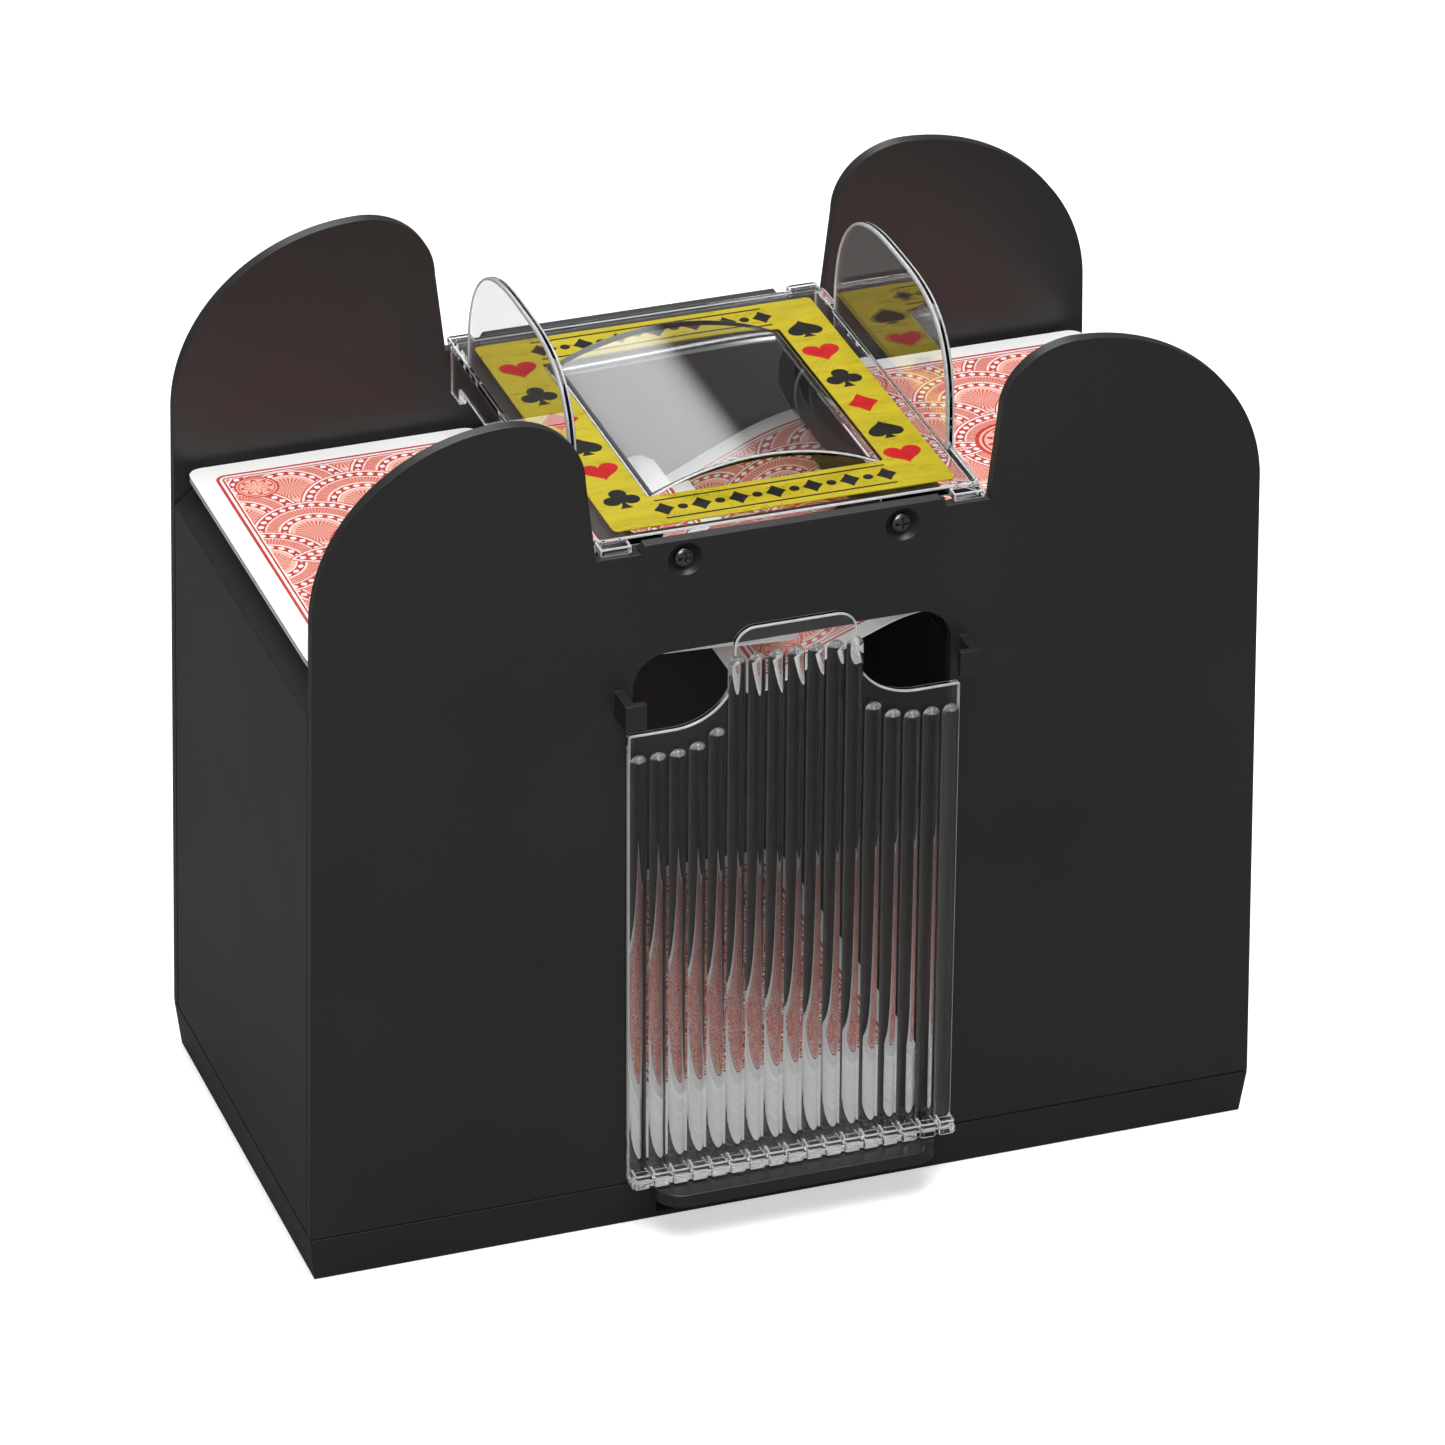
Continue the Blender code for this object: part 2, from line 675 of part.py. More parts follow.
def window_cover():
    """The clear fluted cover that holds the shuffled cards in."""
    back = FRONT - GAP
    bm = bmesh.new()
    prism(bm, cover_outline(), back - COVER_PLATE, back)
    cover = add_mesh("window_cover", bm, CLEAR)
    pitch = 2 * COVER_HALF / FLUTES
    flutes = bmesh.new()
    low = SHELF_TOP + GAP
    for i in range(FLUTES):
        x = -COVER_HALF + pitch * (i + 0.5)
        top = flute_top(x)
        face = back - COVER_PLATE
        outline = [(x - pitch * 0.46, face + 0.5)]
        outline += [(x + a, face - b) for a, b in arc(0, 0, pitch * 0.4, FLUTE_DEPTH, 180, 0, 6)]
        outline += [(x + pitch * 0.46, face + 0.5)]
        prism(flutes, outline, low, top, axis="Z")
    join(cover, flutes)
    ledge = bmesh.new()
    ledge_front = back - COVER_PLATE - FLUTE_DEPTH - LEDGE_DEPTH
    block(ledge, (-COVER_HALF, ledge_front, low), (COVER_HALF, back - 0.5, low + LEDGE_HEIGHT))
    return join(cover, ledge)


def flute_top(x):
    """Height at which the flute at x ends, a little under the cover's edge."""
    away = abs(x)
    if away < COVER_TAB_HALF:
        return COVER_TOP - FLUTE_MARGIN - 1.4
    scoop = min(1.0, (away - COVER_TAB_HALF) / COVER_SCOOP_X)
    edge = COVER_SHOULDER + COVER_SCOOP_Z * (1 - math.sqrt(1 - (1 - scoop) ** 2))
    return edge - FLUTE_MARGIN


# ---------------------------------------------------------------- cards

def pack(centre_x, centre_y, low, high):
    """A block of playing cards with rounded corners."""
    half_x = CARD_WIDTH / 2
    half_y = CARD_LENGTH / 2
    low_corner = (centre_x - half_x, centre_y - half_y)
    high_corner = (centre_x + half_x, centre_y + half_y)
    outline = rounded_rectangle(low_corner, high_corner, CARD_ROUND, 4)
    bm = bmesh.new()
    prism(bm, outline, low, high, axis="Z")
    return bm


def waiting_stack(label, side):
    """The cards waiting in a tray, the top few slid outward."""
    middle = GATE_OUT + GAP + CARD_WIDTH / 2
    slid_low = STACK_TOPS[label] - SLID_THICK
    square = pack(side * middle, STACK_Y, STACK_LOW, slid_low + 0.1)
    obj = add_mesh(label + "_card_stack", square, CARD)
    return join(obj, pack(side * (middle + SLID_OUT), STACK_Y - SLID_FORWARD, slid_low, STACK_TOPS[label]))


def droop_line(outer, bend_from, radius, slope):
    """Centre line of a drooping card in XZ, for the right bay: flat, then a bend, then straight."""
    level = TRAY_TOP + RIB + GAP + CARD_THICK / 2
    points = [(outer, level), (bend_from, level)]
    steps = 8
    reach = math.radians(slope)
    for i in range(1, steps + 1):
        angle = reach * i / steps
        points.append((bend_from - radius * math.sin(angle), level - radius * (1 - math.cos(angle))))
    left_over = CARD_WIDTH - (outer - bend_from) - radius * reach
    x, z = points[-1]
    points.append((x - left_over * math.cos(reach), z - left_over * math.sin(reach)))
    return points


def fed_card(label, side):
    """A card half fed into the well, held under the gate."""
    line = droop_line(*FED_CARDS[label])
    half = CARD_THICK / 2
    top = [(side * x, z + half) for x, z in line]
    bottom = [(side * x, z - half) for x, z in reversed(line)]
    bm = bmesh.new()
    prism(bm, top + bottom, FED_FRONT, FED_FRONT + CARD_LENGTH)
    return add_mesh(label + "_fed_card", bm, CARD)


# ---------------------------------------------------------------- drive

def gear_outline(teeth, phase):
    """Trapezoidal gear teeth around the origin."""
    pitch_radius = teeth * MODULE / 2
    root = pitch_radius - 0.95 * MODULE
    tip = pitch_radius + 0.8 * MODULE
    step = 2 * math.pi / teeth
    points = []
    for i in range(teeth):
        middle = phase + step * i
        for offset, radius in ((-0.27, root), (-0.11, tip), (0.11, tip), (0.27, root)):
            angle = middle + offset * step
            points.append((radius * math.cos(angle), radius * math.sin(angle)))
    return points


def put_gear(bm, side, centre, teeth, phase, span):
    outline = [(side * (centre[0] + x), centre[1] + z) for x, z in gear_outline(teeth, phase)]
    prism(bm, outline, span[0], span[1])


def centre_distance(teeth_a, teeth_b):
    return (teeth_a + teeth_b) * MODULE / 2 + MESH_PLAY


def from_point(point, angle, distance):
    return (point[0] + distance * math.cos(angle), point[1] + distance * math.sin(angle))


ROLLER_CENTRE = (ROLLER_X, ROLLER_Z)
IDLER_CENTRE = from_point(ROLLER_CENTRE, IDLER_ANGLE, centre_distance(ROLLER_TEETH, IDLER_SMALL_TEETH))
MOTOR_CENTRE = from_point(IDLER_CENTRE, MOTOR_ANGLE, centre_distance(IDLER_LARGE_TEETH, PINION_TEETH))


def bored(obj, side, centre, radius, span):
    bm = bmesh.new()
    profile = [(span[0] - 1, radius), (span[1] + 1, radius)]
    turned(bm, profile, (side * centre[0], 0, centre[1]), segments=16)
    return cut(obj, bm)


def roller(label, side):
    """The shaft, its two rubber tyres and its gear."""
    x = side * ROLLER_X
    bm = bmesh.new()
    ends = (-PLATE_Y - PLATE_THICK - 2, LAYER_A[1])
    turned(bm, [(y, SHAFT_RADIUS) for y in ends], (x, 0, ROLLER_Z), segments=16)
    smooth(add_mesh(label + "_roller_shaft", bm, STEEL))
    for place, y in (("front", -TYRE_Y), ("rear", TYRE_Y)):
        bm = bmesh.new()
        half = TYRE_WIDTH / 2
        profile = [(y - half, ROLLER_RADIUS - 0.6), (y - half + 0.6, ROLLER_RADIUS - 0.01)]
        profile += [(y + half - 0.6, ROLLER_RADIUS - 0.01), (y + half, ROLLER_RADIUS - 0.6)]
        turned(bm, profile, (x, 0, ROLLER_Z), segments=28)
        tyre = add_mesh(f"{label}_roller_tyre_{place}", bm, RUBBER)
        bored(tyre, side, ROLLER_CENTRE, SHAFT_RADIUS + BORE, (y - half, y + half))
        smooth(tyre)
    bm = bmesh.new()
    put_gear(bm, side, ROLLER_CENTRE, ROLLER_TEETH, IDLER_ANGLE, LAYER_A)
    gear = add_mesh(label + "_roller_gear", bm, NYLON)
    bored(gear, side, ROLLER_CENTRE, SHAFT_RADIUS + BORE, LAYER_A)


def idler(label, side):
    """The double gear between the motor and the roller, and the pin it turns on."""
    bm = bmesh.new()
    phase = IDLER_ANGLE + math.pi + math.pi / IDLER_SMALL_TEETH
    put_gear(bm, side, IDLER_CENTRE, IDLER_SMALL_TEETH, phase, (LAYER_A[0], LAYER_B[0] + 0.5))
    gear = add_mesh(label + "_idler_gear", bm, NYLON)
    large = bmesh.new()
    put_gear(large, side, IDLER_CENTRE, IDLER_LARGE_TEETH, MOTOR_ANGLE, LAYER_B)
    join(gear, large)
    bored(gear, side, IDLER_CENTRE, PIN_RADIUS + BORE, (LAYER_A[0], LAYER_B[1]))
    pin = bmesh.new()
    centre = (side * IDLER_CENTRE[0], 0, IDLER_CENTRE[1])
    turned(pin, [(PLATE_Y - 1.5, PIN_RADIUS), (LAYER_B[1], PIN_RADIUS)], centre, segments=14)
    smooth(add_mesh(label + "_idler_pin", pin, STEEL))


def motor(label, side):
    """The motor can with flattened sides, and its shaft with the pinion."""
    x, z = side * MOTOR_CENTRE[0], MOTOR_CENTRE[1]
    front = PLATE_Y - GAP
    back = front - MOTOR_LENGTH
    flat_angle = math.degrees(math.acos(MOTOR_FLAT / MOTOR_RADIUS))
    outline = arc(x, z, MOTOR_RADIUS, MOTOR_RADIUS, flat_angle, 180 - flat_angle, 10)
    outline += arc(x, z, MOTOR_RADIUS, MOTOR_RADIUS, 180 + flat_angle, 360 - flat_angle, 10)
    bm = bmesh.new()
    prism(bm, outline, back, front)
    can = add_mesh(label + "_motor", bm, STEEL)
    soften(can, 0.8)
    boss = bmesh.new()
    turned(boss, [(back - 2.2, 3.4), (back + 1, 3.4)], (x, 0, z), segments=20)
    join(can, boss)
    bored(can, side, MOTOR_CENTRE, PIN_RADIUS + BORE, (front - 4, front + 1))
    bm = bmesh.new()
    phase = MOTOR_ANGLE + math.pi + math.pi / PINION_TEETH
    put_gear(bm, side, MOTOR_CENTRE, PINION_TEETH, phase, LAYER_B)
    pinion = add_mesh(label + "_motor_pinion", bm, BRASS)
    shaft = bmesh.new()
    turned(shaft, [(front - 3.5, PIN_RADIUS), (LAYER_B[1] - 0.2, PIN_RADIUS)], (x, 0, z), segments=14)
    join(pinion, shaft)


def bearing_plates(label, side):
    """The plates that hang under the tray and carry the shaft, and at the rear the gears and motor."""
    top = TRAY_TOP - TRAY_THICK - GAP
    x0, x1 = side_span(side, ROLLER_X - 8.5, ROLLER_X + 9.5)
    bm = bmesh.new()
    block(bm, (x0, -PLATE_Y - PLATE_THICK, ROLLER_Z - 11), (x1, -PLATE_Y, top))
    front = add_mesh(label + "_bearing_plate", bm, BLACK)
    bored(front, side, ROLLER_CENTRE, BUSH_RADIUS + GAP, (-PLATE_Y - PLATE_THICK, -PLATE_Y))
    motor_x, motor_z = MOTOR_CENTRE
    reach = MOTOR_RADIUS + 3
    outline = [(ROLLER_X - 8.5, ROLLER_Z - 16), (motor_x - reach, motor_z - reach)]
    outline += [(motor_x + reach, motor_z - reach), (motor_x + reach, motor_z + 9)]
    outline += [(ROLLER_X + 13.5, top), (ROLLER_X - 8.5, top)]
    bm = bmesh.new()
    prism(bm, [(side * x, z) for x, z in outline], PLATE_Y, PLATE_Y + PLATE_THICK)
    rear = add_mesh(label + "_gear_plate", bm, BLACK)
    bored(rear, side, ROLLER_CENTRE, SHAFT_RADIUS + BORE, (PLATE_Y, PLATE_Y + PLATE_THICK))
    bored(rear, side, IDLER_CENTRE, PIN_RADIUS + BORE, (PLATE_Y, PLATE_Y + PLATE_THICK))
    bored(rear, side, MOTOR_CENTRE, PIN_RADIUS + GAP, (PLATE_Y, PLATE_Y + PLATE_THICK))


def shaft_bush(label, side):
    """The nylon bush in the front bearing plate."""
    y = -PLATE_Y - PLATE_THICK
    bm = bmesh.new()
    ends = (y + 0.1, y + PLATE_THICK - 0.1)
    turned(bm, [(end, BUSH_RADIUS) for end in ends], (side * ROLLER_X, 0, ROLLER_Z), segments=16)
    bush = add_mesh(label + "_shaft_bush", bm, NYLON)
    return bored(bush, side, ROLLER_CENTRE, SHAFT_RADIUS + BORE, (y, y + PLATE_THICK))


# ---------------------------------------------------------------- battery and switch

def cell_x(index):
    return BATTERY_X + CELL_PITCH * (index - (CELLS - 1) / 2)


def battery_box():
    """The box over the battery opening."""
    low = PAN_FLOOR + GAP
    bm = bmesh.new()
    block(bm, (BATTERY_X - BOX_HALF_X, -BOX_HALF_Y, low), (BATTERY_X + BOX_HALF_X, BOX_HALF_Y, BOX_TOP))
    box = add_mesh("battery_box", bm, BLACK)
    inner_x = BOX_HALF_X - BOX_WALL
    inner_y = BOX_HALF_Y - BOX_WALL
    hollow = bmesh.new()
    block(hollow, (BATTERY_X - inner_x, -inner_y, 0), (BATTERY_X + inner_x, inner_y, BOX_TOP - BOX_WALL))
    return cut(box, hollow)


def batteries():
    """Four cells, their plus ends alternating."""
    half = CELL_LENGTH / 2
    for i in range(CELLS):
        way = 1 if i % 2 == 0 else -1
        profile = [(-half, CELL_RADIUS - 0.5), (-half + 0.5, CELL_RADIUS), (half - 1.6, CELL_RADIUS)]
        profile += [(half - 1.0, CELL_RADIUS - 0.8), (half - 1.0, 2.7), (half, 2.6)]
        bm = bmesh.new()
        turned(bm, [(way * a, r) for a, r in profile], (cell_x(i), 0, CELL_Z), segments=16)
        smooth(add_mesh(f"battery_cell_{i + 1}", bm, CELL))


def contacts():
    """A strip of contact plates at each end of the cells."""
    outer = CONTACT_Y + CONTACT_THICK
    for label, y0, y1 in (("front", -outer, -CONTACT_Y), ("rear", CONTACT_Y, outer)):
        bm = bmesh.new()
        block(bm, (cell_x(0) - 5, y0, CELL_Z + 3.5), (cell_x(CELLS - 1) + 5, y1, CELL_Z + 5))
        strip = add_mesh(f"{label}_contact_strip", bm, BRASS)
        for i in range(CELLS):
            pad = bmesh.new()
            block(pad, (cell_x(i) - 4.5, y0, CELL_Z - 4.5), (cell_x(i) + 4.5, y1, CELL_Z + 4))
            join(strip, pad)


def battery_door():
    """The flush door under the cells, with a grip of small ridges."""
    bm = bmesh.new()
    low = 0.1
    block(bm, (BATTERY_X - DOOR_HALF_X, -DOOR_HALF_Y, low),
          (BATTERY_X + DOOR_HALF_X, DOOR_HALF_Y, low + DOOR_THICK))
    door = add_mesh("battery_door", bm, BLACK)
    grooves = bmesh.new()
    for i in range(GRIP_RIDGES):
        y = -24 + 2.4 * i
        block(grooves, (BATTERY_X - 9, y, -1), (BATTERY_X + 9, y + 1.0, 0.7))
    return cut(door, grooves)


def push_button():
    """The start button in the right end wall, with its switch behind."""
    face = body_half(BUTTON_Z)
    bm = bmesh.new()
    flange = BUTTON_RADIUS + 1.5
    profile = [(-7.5, flange), (-6.0, flange), (-6.0, BUTTON_RADIUS)]
    profile += [(0.9, BUTTON_RADIUS), (1.6, BUTTON_RADIUS - 0.8)]
    turned(bm, profile, (face, BUTTON_Y, BUTTON_Z), axis="X", segments=28)
    smooth(add_mesh("push_button", bm, BLACK))
    x1 = face - 7.5 - BUTTON_TRAVEL - 0.5
    bm = bmesh.new()
    block(bm, (x1 - 7, BUTTON_Y - 6.5, BUTTON_Z - 6.5), (x1, BUTTON_Y + 6.5, BUTTON_Z + 6.5))
    switch = add_mesh("switch_body", bm, BLACK)
    arm = bmesh.new()
    top = TRAY_TOP - TRAY_THICK - GAP
    block(arm, (x1 - 6, BUTTON_Y - 3, BUTTON_Z + 6), (x1 - 1, BUTTON_Y + 3, top))
    return join(switch, arm)


# ---------------------------------------------------------------- screws

def screw(bm, place, axis, outward, length):
    """A pan-head screw: the head's outer face is at place."""
    profile = [(0.0, SCREW_HEAD * 0.62), (-0.35, SCREW_HEAD), (-1.2, SCREW_HEAD)]
    profile += [(-1.2, SCREW_SHANK), (-length, SCREW_SHANK)]
    turned(bm, [(outward * a, r) for a, r in profile], place, axis=axis, segments=16)


def cross_arm(place, axis, outward, wide, tall):
    """The cutter for one arm of a screw's cross recess."""
    half = {"Y": (wide, 0, tall), "Z": (wide, tall, 0)}[axis]
    low = [p - q for p, q in zip(place, half)]
    high = [p + q for p, q in zip(place, half)]
    index = "XYZ".index(axis)
    ends = (place[index] + outward, place[index] - 0.7 * outward)
    low[index], high[index] = min(ends), max(ends)
    bm = bmesh.new()
    block(bm, low, high)
    return bm


def screws():
    """Two upper screws in each panel, and four under the base."""
    places = []
    for x, label in ((-SCREW_X, "left"), (SCREW_X, "right")):
        places.append((f"front_screw_{label}", "Y", -1, (x, FRONT + 0.25, SCREW_Z), SCREW_LENGTH))
        places.append((f"rear_screw_{label}", "Y", 1, (x, BACK - 0.25, SCREW_Z), SCREW_LENGTH))
    for i, (x, y) in enumerate(base_screw_places()):
        places.append((f"base_screw_{i + 1}", "Z", -1, (x, y, 0.5), BASE_SCREW_LENGTH))
    for name, axis, outward, place, length in places:
        bm = bmesh.new()
        screw(bm, place, axis, outward, length)
        obj = add_mesh(name, bm, DARK_STEEL)
        reach = SCREW_HEAD * 0.55
        for wide, tall in ((reach, 0.3), (0.3, reach)):
            cut(obj, cross_arm(place, axis, outward, wide, tall))
        smooth(obj)


# ---------------------------------------------------------------- assembly

def build():
    front_panel()
    rear_panel()
    base_pan()
    collector_floor()
    feed_frame()
    lid()
    label()
    window_cover()
    for name, side in SIDES:
        end_wall(name, side)
        well_wall(name, side)
        tray_floor(name, side)
        roller(name, side)
        idler(name, side)
        motor(name, side)
        bearing_plates(name, side)
        shaft_bush(name, side)
        fed_card(name, side)
        waiting_stack(name, side)
    add_mesh("shuffled_card_stack", pack(0, 0.5, SHELF_TOP + GAP, SHUFFLED_TOP), CARD)
    battery_box()
    batteries()
    contacts()
    battery_door()
    push_button()
    screws()


clear_scene()
build()
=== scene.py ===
import math
import random

import bmesh
import bpy
from mathutils import Matrix, Vector


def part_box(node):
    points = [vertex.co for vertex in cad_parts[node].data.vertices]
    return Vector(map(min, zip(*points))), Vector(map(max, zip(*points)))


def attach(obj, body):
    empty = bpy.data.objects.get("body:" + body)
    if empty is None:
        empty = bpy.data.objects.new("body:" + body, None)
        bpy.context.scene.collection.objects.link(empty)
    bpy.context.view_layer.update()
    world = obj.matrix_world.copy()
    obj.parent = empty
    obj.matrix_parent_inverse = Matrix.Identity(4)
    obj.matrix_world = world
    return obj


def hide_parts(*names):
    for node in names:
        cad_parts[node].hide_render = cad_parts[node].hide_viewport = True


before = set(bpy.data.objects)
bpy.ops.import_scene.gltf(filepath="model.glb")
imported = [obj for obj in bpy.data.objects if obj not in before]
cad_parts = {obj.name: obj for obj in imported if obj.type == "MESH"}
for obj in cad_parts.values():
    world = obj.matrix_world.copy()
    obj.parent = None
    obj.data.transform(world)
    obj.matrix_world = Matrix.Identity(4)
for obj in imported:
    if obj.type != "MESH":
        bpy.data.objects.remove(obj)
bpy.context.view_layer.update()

# The looks of the automatic card shuffler. The builders below work in millimetres, and add_mesh turns
# them into metres. X is the width, Y the depth with the front at -Y, and Z is up.

MM = 0.001
SIDES = (("left", -1), ("right", 1))


def span(node):
    """Lowest and highest corner of a CAD node, in millimetres."""
    low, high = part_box(node)
    return tuple(v / MM for v in low), tuple(v / MM for v in high)


def middle(node):
    """Centre of a CAD node's box, in millimetres."""
    return [(a + b) / 2 for a, b in zip(*span(node))]


# ---- sizes read from the frame ----
REAR_LOW, REAR_HIGH = span("rear_panel")
BASE_HALF, BACK, EAR_TOP_Z = REAR_HIGH  # the half-width is taken at the top of the plinth
PLINTH_HEIGHT = REAR_LOW[2]
FRONT = -BACK
PANEL = BACK - REAR_LOW[1]
FIT_Y = span("left_end_wall")[1][1]
GAP = BACK - PANEL - FIT_Y
SHELF_LOW, SHELF_HIGH = span("collector_floor")
SHELF_TOP = SHELF_HIGH[2]
LID_LOW_CORNER, LID_HIGH_CORNER = span("lid")
LID_HALF = LID_HIGH_CORNER[0]
COVER_LOW, COVER_HIGH = span("window_cover")
LABEL_LOW, LABEL_HIGH = span("lid_label")

# ---- housing shape ----
DRAFT = math.tan(math.radians(1.2))  # the end walls lean in as they rise
SHOULDER_Z = 152.0
EAR_PEAK_X = 60.0
EAR_INNER_RADIUS = 16.0
EAR_INNER_HEIGHT = 14.5
NOTCH_HALF = 41.9
NOTCH_Z = 157.6
RAISED_HALF = 32.4
RAISED_Z = 159.4
WINDOW_HALF = 34.1
WINDOW_TOP = 134.4
WINDOW_RADIUS = 7.5
WALL = 2.4
LIP_Z = 131.7
LIP_RISE = 3.4
LIP_WIDTH = 4.2
LIP_STEP, LIP_DROP = 1.2, 3  # the lip's inner face, above and below LIP_Z
SCREW_X = 23.1
SCREW_Z = 155.0
SCREW_DISH = 3.7
SCREW_DISH_DEPTH = 1.6
SCREW_HEAD = 2.2  # radii of the head and of the shank
SCREW_SHANK = 1.3
HEAD_HEIGHT = 1.2
HEAD_CROWN = 0.75
CROSS_LONG, CROSS_THIN = 1.35, 0.32  # half-sizes of the cross recess
HOOK_IN, HOOK_OUT = 33.5, 38.1
HOOK_LOW, HOOK_HIGH = 121.7, 127.4
HOOK_REACH, HOOK_PLATE, HOOK_ARM = 7.1, 1.6, 2.2
BUTTON_RADIUS = 5.5
BUTTON_RIM = 0.9  # rounding of the cap's rim
BUTTON_STAND = 1.6  # how far the cap stands out of the wall
FLANGE_RADIUS = 7.0
FLANGE_BACK, FLANGE_FRONT = -7.5, -6.0  # the flange behind the wall, from the wall's face
SHELF_INSET = 2.6
SHELF_ROUND = 6.0
SHELF_THICK = 3.0
SHELF_LEG_X = 26
SHELF_LEG_Y = (-30, 34)
SHELF_STOP_Y = (36, 38)

# ---- card sizes ----
CARD_WIDTH = 63.0
CARD_LENGTH = 88.9
CARD_ROUND = 3.2
CARD_PITCH = 0.3
CARD_THICK = 0.27


def body_half(z):
    """Half-width of the housing at height z."""
    return BASE_HALF - DRAFT * (z - PLINTH_HEIGHT)


# ---- mesh helpers ----

def add_mesh(name, bm, mats):
    """Turns a bmesh in millimetres into a smooth-shaded object in metres."""
    bmesh.ops.recalc_face_normals(bm, faces=bm.faces)
    bmesh.ops.scale(bm, vec=(MM, MM, MM), verts=bm.verts)
    mesh = bpy.data.meshes.new(name)
    bm.to_mesh(mesh)
    bm.free()
    obj = bpy.data.objects.new(name, mesh)
    bpy.context.scene.collection.objects.link(obj)
    for mat in mats:
        mesh.materials.append(mat)
    mesh.shade_smooth()
    mesh.set_sharp_from_angle(angle=math.radians(32))
    return obj


def block(bm, low, high):
    size = [h - l for l, h in zip(low, high)]
    centre = [(h + l) / 2 for l, h in zip(low, high)]
    bmesh.ops.create_cube(bm, size=1.0, matrix=Matrix.Translation(centre) @ Matrix.Diagonal((*size, 1.0)))


def prism(bm, outline, low, high, axis="Y"):
    """Adds a closed outline swept between two planes. Outline pairs are YZ, XZ or XY."""
    rings = []
    for c in (low, high):
        points = [{"X": (c, a, b), "Y": (a, c, b), "Z": (a, b, c)}[axis] for a, b in outline]
        rings.append([bm.verts.new(point) for point in points])
    bm.faces.new(rings[0])
    bm.faces.new(rings[1][::-1])
    for i, j in ring_pairs(len(outline)):
        bm.faces.new((rings[0][i], rings[1][i], rings[1][j], rings[0][j]))


def prism_mesh(name, outline, low, high, axis, *mats):
    bm = bmesh.new()
    prism(bm, outline, low, high, axis)
    return add_mesh(name, bm, mats)


def ring_pairs(count):
    return [(i, (i + 1) % count) for i in range(count)]


def turned(bm, profile, centre, axis="Y", segments=48):
    """Adds a solid of revolution. Profile pairs are (distance along the axis, radius)."""
    rings = []
    for along, radius in profile:
        ring = []
        for i in range(segments):
            angle = 2 * math.pi * i / segments
            u, v = radius * math.cos(angle), radius * math.sin(angle)
            point = {"Y": (u, along, v), "X": (along, u, v), "Z": (u, v, along)}[axis]
            ring.append(bm.verts.new([c + p for c, p in zip(centre, point)]))
        rings.append(ring)
    for a, b in zip(rings, rings[1:]):
        for i, j in ring_pairs(segments):
            bm.faces.new((a[i], a[j], b[j], b[i]))
    bm.faces.new(rings[0])
    bm.faces.new(rings[-1])


def arc(cx, cz, rx, rz, start, end, steps):
    """Points of an ellipse arc, angles in degrees."""
    points = []
    for i in range(steps + 1):
        angle = math.radians(start + (end - start) * i / steps)
        points.append((cx + rx * math.cos(angle), cz + rz * math.sin(angle)))
    return points


def mirrored(points):
    return [(-x, z) for x, z in reversed(points)]


def rounded_rectangle(low, high, radius, steps=6):
    (x0, y0), (x1, y1) = (low[0] + radius, low[1] + radius), (high[0] - radius, high[1] - radius)
    points = []
    for start, x, y in ((0, x1, y1), (90, x0, y1), (180, x0, y0), (270, x1, y0)):
        points += arc(x, y, radius, radius, start, start + 90, steps)
    return points


def side_span(side, near, far):
    return (min(side * near, side * far), max(side * near, side * far))


def combine(obj, helper, operation):
    """Boolean with a helper, applied straight away. The helper is removed."""
    modifier = obj.modifiers.new("boolean", "BOOLEAN")
    modifier.operation = operation
    modifier.solver = "EXACT"
    modifier.object = helper
    apply_modifiers(obj)
    bpy.data.objects.remove(helper)


def cut(obj, bm):
    combine(obj, add_mesh("helper", bm, obj.data.materials), "DIFFERENCE")


def join(obj, bm):
    combine(obj, add_mesh("helper", bm, obj.data.materials), "UNION")


def apply_modifiers(obj):
    graph = bpy.context.evaluated_depsgraph_get()
    mesh = bpy.data.meshes.new_from_object(obj.evaluated_get(graph))
    obj.modifiers.clear()
    old = obj.data
    obj.data = mesh
    bpy.data.meshes.remove(old)


def soften(obj, width, segments=3, degrees=40):
    """Rounds the sharp edges. Returns the bevel."""
    bevel = obj.modifiers.new("edges", "BEVEL")
    bevel.width = width * MM
    bevel.segments = segments
    bevel.limit_method = "ANGLE"
    bevel.angle_limit = math.radians(degrees)
    return bevel


def smoothed(obj, degrees=50):
    """Smooths over the rounded edges while large faces stay flat."""
    apply_modifiers(obj)
    obj.data.shade_smooth()
    obj.data.set_sharp_from_angle(angle=math.radians(degrees))
    weighted = obj.modifiers.new("weighted", "WEIGHTED_NORMAL")
    weighted.keep_sharp = True
    weighted.weight = 80
    return obj


def place(obj, body, slot, *nodes):
    """Rides the piece on its body and hides the CAD nodes it stands for. The slot is not used."""
    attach(obj, body)
    if nodes:
        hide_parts(*nodes)


# ---- material helpers ----

